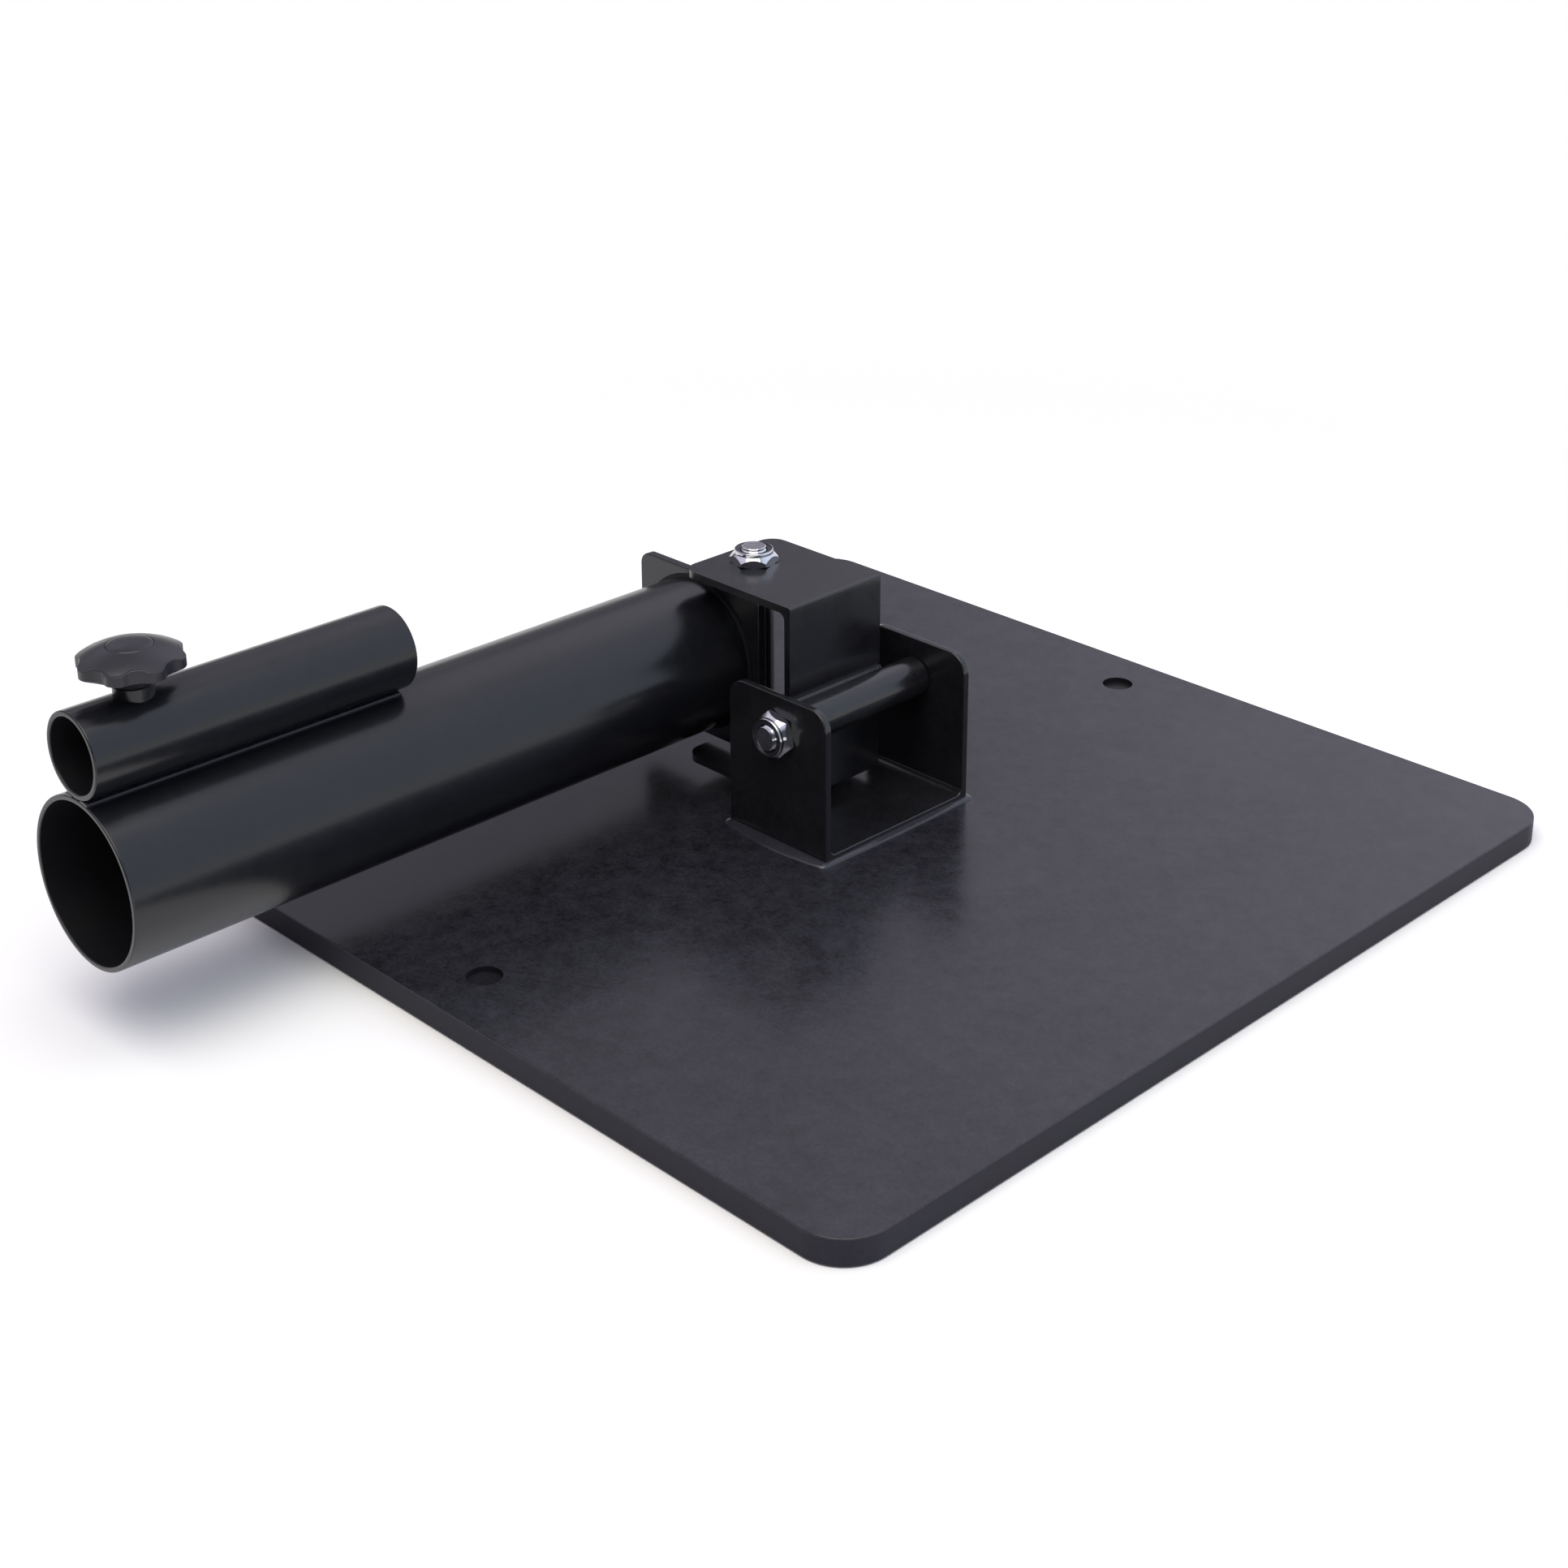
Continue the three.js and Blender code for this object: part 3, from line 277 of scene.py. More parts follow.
def farthest(points):
    return max(abs(p.x) for p in points)


scuffed_coat = powder_coat("scuffed_black_powder_coat", "121216", "2e2e35", 0.19, 0.07, 0.5)
hand_over(floor_plate, "base", "base_plate", scuffed_coat)
# The cut sides hold a drier coat with hardly any shine, so they stay darker than the top
dry_coat = powder_coat("dry_coat_on_cut_sides", "25242b", "2e2d36", 0.45, 0.1, 0.4, ior=1.2)
coat_faces(floor_plate, dry_coat, lambda ps: stands(ps) and farthest(ps) > RECESS_EDGE_DISTANCE)
# The recesses get a darker, duller copy of the coat, painted shade that keeps them a shade darker than the top
painted_shade_recess_coat = powder_coat("recess_coat_with_painted_shade", "141418", "1e1e22", 0.3, 0.1, 0.4, ior=1.33)
coat_faces(
    floor_plate,
    painted_shade_recess_coat,
    lambda ps: lies(ps, "z", recess_floor) or (stands(ps) and farthest(ps) < RECESS_EDGE_DISTANCE),
)


# Clevis
# A U of 3 mm steel sheet, folded on a press brake with tight outer corners and rounded at the ear tops.
# One hole is drilled through both ears for the pivot bolt, and it is powder coated with the rest.
SHEET = 3 * MM
CLEVIS_INNER_BEND = 2.5 * MM
CLEVIS_OUTER_BEND = 1 * MM
EAR_CORNER_RADIUS = 8 * MM
SHEET_RIM_ROUNDING = 0.6 * MM
BOLT_HOLE_RADIUS = 5.3 * MM


def slice_at(piece, point, direction):
    choose(piece)
    bpy.ops.object.mode_set(mode="EDIT")
    bpy.ops.mesh.select_all(action="SELECT")
    bpy.ops.mesh.bisect(plane_co=point, plane_no=direction)
    bpy.ops.object.mode_set(mode="OBJECT")


def draw_out(piece, test, move):
    pick(piece, "FACE", test)
    bpy.ops.mesh.extrude_region_move(TRANSFORM_OT_translate={"value": move})
    bpy.ops.object.mode_set(mode="OBJECT")


def outside(points, axis, limits):
    places = [getattr(p, axis) for p in points]
    return max(places) < limits[0] + TOUCH or min(places) > limits[1] - TOUCH


clevis_low, clevis_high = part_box("clevis_bracket")
pivot_x = sum(p.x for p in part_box("pivot_sleeve")) / 2
pivot_z = sum(p.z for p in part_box("pivot_sleeve")) / 2
ear_inner = (clevis_low.y + SHEET, clevis_high.y - SHEET)
web_top = clevis_low.z + SHEET
clevis = block("clevis", clevis_low, (clevis_high.x, clevis_high.y, web_top))
for y in ear_inner:
    slice_at(clevis, (0, y, 0), (0, 1, 0))
draw_out(
    clevis,
    lambda ps: lies(ps, "z", web_top) and outside(ps, "y", ear_inner),
    (0, 0, clevis_high.z - web_top),
)
round_edges(
    clevis,
    lambda ps: lies(ps, "z", web_top) and lies(ps, "y", *ear_inner) and runs(ps, "x"),
    CLEVIS_INNER_BEND,
    steps=6,
)
round_edges(
    clevis,
    lambda ps: lies(ps, "z", clevis_low.z) and lies(ps, "y", clevis_low.y, clevis_high.y) and runs(ps, "x"),
    CLEVIS_OUTER_BEND,
    steps=4,
)
round_edges(
    clevis,
    lambda ps: lies(ps, "z", clevis_high.z) and lies(ps, "x", clevis_low.x, clevis_high.x),
    EAR_CORNER_RADIUS,
    steps=12,
)
drill(
    clevis,
    BOLT_HOLE_RADIUS,
    (pivot_x, clevis_low.y - SHEET, pivot_z),
    (pivot_x, clevis_high.y + SHEET, pivot_z),
)
break_rims(clevis, SHEET_RIM_ROUNDING)
# The brackets are hardly touched in use, so their coat keeps an even black satin
bracket_coat = powder_coat("satin_black_powder_coat", "121215", "202024", 0.16, 0.08, 0.25, ior=1.55)
hand_over(clevis, "base", "clevis_bracket", bracket_coat)


# Foot weld of the clevis
# One fillet bead runs all round the foot, wider at the middle of the side that faces the tube mouths.
# It is dressed smooth and coated over, so it shows as a soft shiny band; its coat is painted paler, a painted
# highlight.
MERGE_DISTANCE = 0.01 * MM


def bead_copy(name, node):
    clear()
    piece = bpy.data.objects.new(name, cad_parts[node].data.copy())
    piece.data.name = name
    bpy.context.scene.collection.objects.link(piece)
    choose(piece)
    bpy.ops.object.mode_set(mode="EDIT")
    bpy.ops.mesh.select_all(action="SELECT")
    bpy.ops.mesh.remove_doubles(threshold=MERGE_DISTANCE)
    bpy.ops.mesh.dissolve_limited(angle_limit=math.radians(1))
    bpy.ops.object.mode_set(mode="OBJECT")
    return piece


foot_weld = bead_copy("clevis_foot_weld", "clevis_weld")
# The bead's coat is painted a paler grey than the other coats, a painted highlight that shows it as a thin grey line
painted_highlight_bead_coat = powder_coat("paler_weld_coat_with_painted_highlight", "26262d", "303038", 0.16, 0.06, 0.2)
hand_over(foot_weld, "base", "clevis_weld", painted_highlight_bead_coat, angle=50)


# Pivot bolt
# An M10 hexagon bolt of bright zinc plated steel lies through both ears. Its cold headed top has a 30 degree
# chamfer, and its rolled thread ends just past the lock nut on the near ear.
ACROSS_FLATS = 17 * MM
HEAD_CHAMFER_SETBACK = 0.35 * MM
HEAD_RIM_ROUNDING = 0.15 * MM
BOLT_RADIUS = 5 * MM
BOLT_TIP_CHAMFER = 0.5 * MM
THREAD_LENGTH = 16 * MM
THREAD_PITCH = 1.5 * MM
THREAD_DEPTH = 0.55 * MM
# Shares of the pitch at which a flank starts to rise, the crest starts and the crest ends
THREAD_FORM = (0.1, 0.5, 0.62)
CHAMFER_SLOPE = math.tan(math.pi / 6)
LAID_ALONG_Y = (math.pi / 2, 0, 0)
CLOUD_SIZE = 3.125 * MM
TOOL_MARK_SIZE = 0.625 * MM
TOOL_MARK_DEPTH = 0.03 * MM


def turned(name, profile, sides):
    clear()
    closed = profile[0] == profile[-1]
    radius, height = profile[0]
    bpy.ops.mesh.primitive_circle_add(
        vertices=sides,
        radius=radius,
        location=(0, 0, height),
        fill_type="NOTHING" if closed else "NGON",
    )
    piece = named(name)
    bpy.ops.object.mode_set(mode="EDIT")
    bpy.ops.mesh.select_mode(type="EDGE")
    bpy.ops.mesh.select_all(action="SELECT")
    for (r0, z0), (r1, z1) in zip(profile, profile[1:]):
        bpy.ops.mesh.extrude_region_move(TRANSFORM_OT_translate={"value": (0, 0, z1 - z0)})
        bpy.ops.transform.resize(value=(r1 / r0, r1 / r0, 1), center_override=(0, 0, z1))
    bpy.ops.mesh.select_all(action="SELECT")
    bpy.ops.mesh.remove_doubles(threshold=MM / 1000)
    bpy.ops.mesh.normals_make_consistent(inside=False)
    bpy.ops.object.mode_set(mode="OBJECT")
    return piece


def laid(piece, place, turn=(0, 0, 0)):
    choose(piece)
    piece.matrix_world = Matrix.Translation(place) @ Euler(turn).to_matrix().to_4x4()
    bpy.ops.object.transform_apply(location=True, rotation=True, scale=True)
    return piece


def hexagon(name, low, high, envelope):
    piece = round_bar(name, ACROSS_FLATS / 2 / math.cos(math.pi / 6), (0, 0, low), (0, 0, high), 6)
    laid(piece, (0, 0, 0), (0, 0, math.radians(30)))
    cut(piece, turned("chamfer_cutter", envelope, 144), "INTERSECT")
    return piece


def threaded(radius, low, high):
    profile = []
    root = radius - THREAD_DEPTH
    height = low
    rise, crest, fall = (THREAD_PITCH * share for share in THREAD_FORM)
    while height + THREAD_PITCH < high:
        profile += [(root, height + rise), (radius, height + crest), (radius, height + fall)]
        height += THREAD_PITCH
        profile.append((root, height))
    return profile


def join(piece, other):
    choose(piece)
    other.select_set(True)
    bpy.ops.object.join()
    return piece


def hex_bolt(name, shank, head_height):
    flats = ACROSS_FLATS / 2 - HEAD_CHAMFER_SETBACK
    wide = ACROSS_FLATS * 0.65
    envelope = [(flats, -head_height), (wide, -head_height + (wide - flats) * CHAMFER_SLOPE), (wide, 0)]
    head = hexagon(name, -head_height, 0, envelope)
    break_rims(head, HEAD_RIM_ROUNDING, steps=2)
    tip = BOLT_TIP_CHAMFER
    profile = [(BOLT_RADIUS, 0), (BOLT_RADIUS, shank - THREAD_LENGTH)]
    profile += threaded(BOLT_RADIUS, shank - THREAD_LENGTH, shank - tip)
    profile += [(BOLT_RADIUS - tip * 0.4, shank - tip * 0.5), (BOLT_RADIUS - tip, shank)]
    profile += [(BOLT_RADIUS - tip * 1.4, shank - tip * 0.12)]
    return join(head, turned("shank", profile, 96))


# Bright zinc plating gives the eye a silver mirror, very slightly clouded by the bath
def zinc_plate(name, colour, cloudy, roughness, cloud_extra):
    material = new_material(name)
    place = add(material, "ShaderNodeTexCoord").outputs["Object"]
    cloud = add(
        material,
        "ShaderNodeTexNoise",
        {"Vector": place, "Scale": 1 / CLOUD_SIZE, "Detail": 5.0, "Roughness": 0.6},
    )
    dull = add(
        material,
        "ShaderNodeMapRange",
        {
            "Value": cloud.outputs["Fac"],
            "From Min": 0.3,
            "From Max": 0.7,
            "To Min": roughness,
            "To Max": roughness + cloud_extra,
        },
    )
    pale = add(material, "ShaderNodeMapRange", {"Value": cloud.outputs["Fac"], "From Min": 0.3, "From Max": 0.75})
    tone = add(
        material,
        "ShaderNodeMix",
        {0: pale.outputs["Result"], 6: linear(colour), 7: linear(cloudy)},
        data_type="RGBA",
    )
    # The marks of the forging dies are drawn coarser than real, or they wouldn't show
    mark = add(material, "ShaderNodeTexNoise", {"Vector": place, "Scale": 1 / TOOL_MARK_SIZE, "Detail": 3.0})
    skin = add(
        material,
        "ShaderNodeBump",
        {"Height": mark.outputs["Fac"], "Strength": 0.12, "Distance": TOOL_MARK_DEPTH},
    )
    shader = add(
        material,
        "ShaderNodeBsdfPrincipled",
        {
            "Base Color": tone.outputs[2],
            "Roughness": dull.outputs["Result"],
            "Normal": skin.outputs["Normal"],
            "Metallic": 1.0,
        },
    )
    add(material, "ShaderNodeOutputMaterial", {"Surface": shader.outputs["BSDF"]})
    return material


bright_zinc = zinc_plate("bright_zinc_plated_steel", "c9cad0", "e4e4e8", 0.05, 0.07)
bolt_low, bolt_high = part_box("pivot_bolt")
pivot_bolt = hex_bolt("pivot_hex_bolt", clevis_high.y - bolt_low.y, bolt_high.y - clevis_high.y)
laid(pivot_bolt, (pivot_x, clevis_high.y, pivot_z), LAID_ALONG_Y)
hand_over(pivot_bolt, "base", "pivot_bolt", bright_zinc)


# Pivot lock nut
# A thin hexagon lock nut of zinc plated steel seats on the near ear. A turned cone runs up from its flats to a
# round lip, which is rolled in over a nylon ring.
LIP_RADIUS = 7.8 * MM
LIP_HEIGHT = 1.5 * MM
LIP_WALL = 0.5 * MM
# How far the lip is rolled in, at which share of its height
LIP_ROLL = ((0.03 * MM, 0.6), (0.1 * MM, 0.82), (0.22 * MM, 0.95), (0.36 * MM, 1.0))
CONE_SLOPE = 1.15
NYLON_SETBACK = 0.5 * MM
NYLON_HEIGHT = 1.6 * MM
NYLON_ROUNDING = 0.25 * MM
NYLON_GRAIN = 0.4 * MM
HANDLING_SIZE = 10 * MM
PIVOT_NUT_TURN = math.radians(46)


def lock_nut(name, height):
    seat = ACROSS_FLATS / 2
    wide = ACROSS_FLATS * 0.6
    foot = height - LIP_HEIGHT
    envelope = [
        (seat, 0),
        (wide, (wide - seat) * CHAMFER_SLOPE),
        (wide, foot - (wide - LIP_RADIUS) * CONE_SLOPE),
        (LIP_RADIUS, foot),
    ]
    envelope += [(LIP_RADIUS - roll, foot + LIP_HEIGHT * share) for roll, share in LIP_ROLL]
    nut = hexagon(name, 0, height, envelope)
    drill(nut, BOLT_HOLE_RADIUS, (0, 0, -MM), (0, 0, height + MM), sides=96)
    pocket = height - NYLON_SETBACK - NYLON_HEIGHT
    drill(nut, LIP_RADIUS - LIP_WALL, (0, 0, pocket), (0, 0, height + MM), sides=144)
    return nut


def nylon_ring(name, height):
    top = height - NYLON_SETBACK
    foot = top - NYLON_HEIGHT
    outer = LIP_RADIUS - LIP_WALL
    soft = NYLON_ROUNDING
    profile = [
        (BOLT_HOLE_RADIUS, foot),
        (outer, foot),
        (outer, top - soft),
        (outer - soft * 0.5, top - soft * 0.3),
        (outer - soft * 1.4, top),
        (BOLT_HOLE_RADIUS + soft * 2, top),
        (BOLT_HOLE_RADIUS + soft * 0.6, top - soft * 0.4),
        (BOLT_HOLE_RADIUS, top - soft * 1.4),
        (BOLT_HOLE_RADIUS, foot),
    ]
    return turned(name, profile, 96)


# Moulded nylon gives the eye a soft satin shine with no mirror in it, slightly greased by handling
def moulded_plastic(name, colour, roughness, grain, depth):
    material = new_material(name)
    place = add(material, "ShaderNodeTexCoord").outputs["Object"]
    # The spark-eroded grain of the mould is drawn coarser than real, or it wouldn't show
    pits = add(
        material,
        "ShaderNodeTexNoise",
        {"Vector": place, "Scale": 1 / grain, "Detail": 3.0, "Roughness": 0.6},
    )
    skin = add(material, "ShaderNodeBump", {"Height": pits.outputs["Fac"], "Strength": 0.35, "Distance": depth})
    touch = add(
        material,
        "ShaderNodeTexNoise",
        {"Vector": place, "Scale": 1 / HANDLING_SIZE, "Detail": 6.0, "Roughness": 0.6},
    )
    dull = add(
        material,
        "ShaderNodeMapRange",
        {
            "Value": touch.outputs["Fac"],
            "From Min": 0.3,
            "From Max": 0.7,
            "To Min": roughness - 0.05,
            "To Max": roughness + 0.07,
        },
    )
    shader = add(
        material,
        "ShaderNodeBsdfPrincipled",
        {
            "Base Color": linear(colour),
            "Roughness": dull.outputs["Result"],
            "Normal": skin.outputs["Normal"],
            "IOR": 1.46,
        },
    )
    add(material, "ShaderNodeOutputMaterial", {"Surface": shader.outputs["BSDF"]})
    return material


dark_nylon = moulded_plastic("dark_nylon", "2c2d33", 0.2, NYLON_GRAIN, 0.01 * MM)
nut_low, nut_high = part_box("pivot_nut")
near_ear = (pivot_x, clevis_low.y, pivot_z)
pivot_nut = lock_nut("pivot_lock_nut", nut_high.y - nut_low.y)
laid(pivot_nut, (0, 0, 0), (0, 0, PIVOT_NUT_TURN))
laid(pivot_nut, near_ear, LAID_ALONG_Y)
hand_over(pivot_nut, "base", "pivot_nut", bright_zinc)
pivot_ring = laid(nylon_ring("pivot_nylon_ring", nut_high.y - nut_low.y), near_ear, LAID_ALONG_Y)
hand_over(pivot_ring, "base", "pivot_nut_insert", dark_nylon)


# Pivot sleeve
# A length of thick-walled steel tube turns on the bolt between the ears, its ends faced off square and chamfered.
# It was welded to the yoke first and powder coated with it.
SLEEVE_CHAMFER = 0.35 * MM


def sleeve(name, radius, length):
    half = length / 2
    small = SLEEVE_CHAMFER
    profile = [
        (BOLT_HOLE_RADIUS, -half),
        (radius - small, -half),
        (radius, -half + small),
        (radius, half - small),
        (radius - small, half),
        (BOLT_HOLE_RADIUS, half),
        (BOLT_HOLE_RADIUS, -half),
    ]
    return turned(name, profile, 128)


sleeve_low, sleeve_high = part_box("pivot_sleeve")
pivot_sleeve = sleeve("pivot_tube_sleeve", (sleeve_high.x - sleeve_low.x) / 2, sleeve_high.y - sleeve_low.y)
laid(pivot_sleeve, (sleeve_low + sleeve_high) / 2, LAID_ALONG_Y)
hand_over(pivot_sleeve, "yoke", "pivot_sleeve", bracket_coat)


# Pivot welds
# Two fillet beads, above and below, hold the sleeve to the back of the yoke along most of its width. They were
# laid in small steps, so they are rippled along their run, and the coat softens the ripples.
RIPPLE_PITCH = 1.6 * MM
RIPPLE_DEPTH = 0.12 * MM
RIPPLE_DRIFT_SIZE = 3.85 * MM
BEAD_ROUNDING = 0.25 * MM


def ripple_along(axis):
    def rippled(material, place, skin):
        split = add(material, "ShaderNodeSeparateXYZ", {"Vector": place})
        drift = add(material, "ShaderNodeTexNoise", {"Vector": place, "Scale": 1 / RIPPLE_DRIFT_SIZE, "Detail": 2.0})
        turn = add(
            material,
            "ShaderNodeMath",
            {0: split.outputs[axis], 1: 2 * math.pi / RIPPLE_PITCH},
            operation="MULTIPLY",
        )
        sway = add(
            material,
            "ShaderNodeMath",
            {0: drift.outputs["Fac"], 1: 4.0, 2: turn.outputs["Value"]},
            operation="MULTIPLY_ADD",
        )
        crest = add(material, "ShaderNodeMath", {0: sway.outputs["Value"]}, operation="SINE")
        return add(
            material,
            "ShaderNodeBump",
            {
                "Height": crest.outputs["Value"],
                "Strength": 0.5,
                "Distance": RIPPLE_DEPTH,
                "Normal": skin.outputs["Normal"],
            },
        )

    return rippled


def weld_on(nodes, body, coat):
    for node in nodes:
        bead = bead_copy(f"{node}_bead", node)
        break_rims(bead, BEAD_ROUNDING, steps=2, angle=25)
        hand_over(bead, body, node, coat, angle=60)


# A coat over a bead as welded glints along each ripple
weld_coat_y = powder_coat(
    "coated_weld_bead_along", "17171b", "222227", 0.2, 0.1, 0.3, ripple=ripple_along("Y")
)
weld_on(("pivot_weld_upper", "pivot_weld_lower"), "yoke", weld_coat_y)


# Yoke
# A C of 3 mm steel sheet folded on a press brake, with rounded free corners. The swivel bolt stands through
# a hole in each flange, and the back of the C is welded to the pivot sleeve.
YOKE_INNER_BEND = 3 * MM
YOKE_OUTER_BEND = 0.8 * MM
YOKE_CORNER_RADIUS = 7 * MM

yoke_low, yoke_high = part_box("yoke_bracket")
swivel_x = sum(p.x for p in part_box("swivel_sleeve")) / 2
swivel_y = sum(p.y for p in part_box("swivel_sleeve")) / 2
web_face = yoke_high.x - SHEET
flange_inner = (yoke_low.z + SHEET, yoke_high.z - SHEET)
yoke = block("yoke", (web_face, yoke_low.y, yoke_low.z), yoke_high)
for z in flange_inner:
    slice_at(yoke, (0, 0, z), (0, 0, 1))
draw_out(
    yoke,
    lambda ps: lies(ps, "x", web_face) and outside(ps, "z", flange_inner),
    (yoke_low.x - web_face, 0, 0),
)
round_edges(
    yoke,
    lambda ps: lies(ps, "x", web_face) and lies(ps, "z", *flange_inner) and runs(ps, "y"),
    YOKE_INNER_BEND,
    steps=6,
)
round_edges(
    yoke,
    lambda ps: lies(ps, "x", yoke_high.x) and lies(ps, "z", yoke_low.z, yoke_high.z) and runs(ps, "y"),
    YOKE_OUTER_BEND,
    steps=4,
)
round_edges(
    yoke,
    lambda ps: lies(ps, "x", yoke_low.x) and lies(ps, "y", yoke_low.y, yoke_high.y),
    YOKE_CORNER_RADIUS,
    steps=12,
)
drill(
    yoke,
    BOLT_HOLE_RADIUS,
    (swivel_x, swivel_y, yoke_low.z - SHEET),
    (swivel_x, swivel_y, yoke_high.z + SHEET),
)
break_rims(yoke, SHEET_RIM_ROUNDING)
hand_over(yoke, "yoke", "yoke_bracket", bracket_coat)


# Swivel bolt, washer and lock nut
# A second M10 bolt stands through the flanges, its head below on a thin punched washer, its lock nut on top.
# The head is also what the lowered yoke rests on.
SWIVEL_NUT_TURN = math.radians(-15)

washer_low, washer_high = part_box("swivel_bolt_washer")
bolt_low, bolt_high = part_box("swivel_bolt")
nut_low, nut_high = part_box("swivel_nut")
swivel_bolt = hex_bolt("swivel_hex_bolt", bolt_high.z - washer_low.z, washer_low.z - bolt_low.z)
laid(swivel_bolt, (swivel_x, swivel_y, washer_low.z))
hand_over(swivel_bolt, "yoke", "swivel_bolt", bright_zinc)
washer_radius = (washer_high.x - washer_low.x) / 2
washer = turned(
    "swivel_plain_washer",
    [
        (BOLT_HOLE_RADIUS, washer_low.z),
        (washer_radius - SLEEVE_CHAMFER / 2, washer_low.z),
        (washer_radius, washer_low.z + SLEEVE_CHAMFER),
        (washer_radius, washer_high.z),
        (BOLT_HOLE_RADIUS, washer_high.z),
        (BOLT_HOLE_RADIUS, washer_low.z),
    ],
    96,
)
laid(washer, (swivel_x, swivel_y, 0))
hand_over(washer, "yoke", "swivel_bolt_washer", bright_zinc)
flange_top = (swivel_x, swivel_y, yoke_high.z)
swivel_nut = lock_nut("swivel_lock_nut", nut_high.z - nut_low.z)
laid(swivel_nut, flange_top, (0, 0, SWIVEL_NUT_TURN))
hand_over(swivel_nut, "yoke", "swivel_nut", bright_zinc)
swivel_ring = laid(nylon_ring("swivel_nylon_ring", nut_high.z - nut_low.z), flange_top)
hand_over(swivel_ring, "yoke", "swivel_nut_insert", dark_nylon)


# Swivel sleeve and end plate
# The tubes hang on a sleeve that turns on the standing bolt. A 4 mm square plate with rounded corners is
# welded to the sleeve by two upright beads, and closes the back of the large tube.
END_PLATE_CORNER_RADIUS = 5 * MM

sleeve_low, sleeve_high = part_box("swivel_sleeve")
swivel_sleeve = sleeve("swivel_tube_sleeve", (sleeve_high.x - sleeve_low.x) / 2, sleeve_high.z - sleeve_low.z)
laid(swivel_sleeve, (sleeve_low + sleeve_high) / 2)
hand_over(swivel_sleeve, "tube", "swivel_sleeve", bracket_coat)
weld_coat_z = powder_coat(
    "coated_weld_bead_upright", "17171b", "222227", 0.2, 0.1, 0.3, ripple=ripple_along("Z")
)
weld_on(("swivel_weld_left", "swivel_weld_right"), "tube", weld_coat_z)
end_plate = block("tube_closing_plate", *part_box("tube_end_plate"))
round_edges(end_plate, lambda ps: runs(ps, "y"), END_PLATE_CORNER_RADIUS, steps=10)
break_rims(end_plate, SHEET_RIM_ROUNDING)
hand_over(end_plate, "tube", "tube_end_plate", bracket_coat)


# Large tube
# A 62 mm steel tube with a 2 mm wall, sawn square, its mouth deburred to a soft rim. It takes the sleeve of
# a thick bar, and a fillet bead all round joins it to the end plate.
TUBE_WALL = 2 * MM
RIM_STEPS = 4
RIM_SOFTNESS = 0.55
# The section of the ring weld, as shares of its leg outwards and along the tube
RING_WELD_SECTION = ((0, 0), (1, 0), (0.93, 0.3), (0.66, 0.66), (0.3, 0.93), (0, 1), (0, 0))


def rim_arc(outer, inner, end, inward):
    soft = (outer - inner) / 2 * RIM_SOFTNESS
    points = []
    for step in range(RIM_STEPS + 1):
        angle = math.pi / 2 * step / RIM_STEPS
        points.append((outer - soft + soft * math.cos(angle), end + inward * soft * (1 - math.sin(angle))))
    return points + [(outer + inner - r, z) for r, z in reversed(points)]


def open_tube(name, radius, length, sides):
    bore = radius - TUBE_WALL
    profile = rim_arc(radius, bore, length, -1) + rim_arc(radius, bore, 0, 1)[::-1]
    return turned(name, profile + [profile[0]], sides)


tube_low, tube_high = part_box("main_tube")
tube_radius = (tube_high.x - tube_low.x) / 2
tube_x = (tube_low.x + tube_high.x) / 2
tube_z = (tube_low.z + tube_high.z) / 2
main_tube = open_tube("large_bar_tube", tube_radius, tube_high.y - tube_low.y, 224)
laid(main_tube, (tube_x, tube_high.y, tube_z), LAID_ALONG_Y)
# The tubes' coat lies smooth on the drawn steel, so it is the glossiest black and shows long clean bands
tube_coat = powder_coat("glossier_black_powder_coat", "0f1014", "17181c", 0.2, 0.06, 0.15)
hand_over(main_tube, "tube", "main_tube", tube_coat)
# Powder hardly reaches into a tube or a corner, so its coat stays dry and dull there
dull_coat = powder_coat("dull_coat_inside", "101013", "151518", 0.5, 0.1, 0.2, ior=1.25)


def coat_bore(tube, centre, radius):
    reach = radius - TUBE_WALL + 0.1 * MM
    coat_faces(tube, dull_coat, lambda ps: all(math.hypot(p.x - tube_x, p.z - centre) < reach for p in ps))


coat_bore(main_tube, tube_z, tube_radius)
ring_low, ring_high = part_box("main_tube_weld")
leg = ring_high.y - ring_low.y
ring_weld = turned(
    "large_tube_ring_weld",
    [(tube_radius + leg * out, leg * along) for out, along in RING_WELD_SECTION],
    224,
)
laid(ring_weld, (tube_x, ring_high.y, tube_z), LAID_ALONG_Y)
hand_over(ring_weld, "tube", "main_tube_weld", dull_coat, angle=60)


# Small tube
# A 31 mm tube with a 2 mm wall lies along the crest of the large one for a thin bar, open at both ends.
# Its crest is drilled for the clamp stud, and a weld strip fills the corner on each side below it.
STUD_HOLE_RADIUS = 4.3 * MM
STRIP_ROUNDING = 0.2 * MM

tube_low, tube_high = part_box("small_tube")
small_radius = (tube_high.x - tube_low.x) / 2
small_z = (tube_low.z + tube_high.z) / 2
knob_y = sum(p.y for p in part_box("knob_boss")) / 2
small_tube = open_tube("small_bar_tube", small_radius, tube_high.y - tube_low.y, 144)
laid(small_tube, (tube_x, tube_high.y, small_z), LAID_ALONG_Y)
drill(small_tube, STUD_HOLE_RADIUS, (tube_x, knob_y, small_z), (tube_x, knob_y, tube_high.z + MM))
hand_over(small_tube, "tube", "small_tube", tube_coat)
coat_bore(small_tube, small_z, small_radius)
# The strips take the same paler coat, a painted highlight along their bright top edge
for node in ("small_tube_weld_left", "small_tube_weld_right"):
    strip = bead_copy(f"{node}_strip", node)
    break_rims(strip, STRIP_ROUNDING, steps=2)
    hand_over(strip, "tube", node, painted_highlight_bead_coat, angle=50)


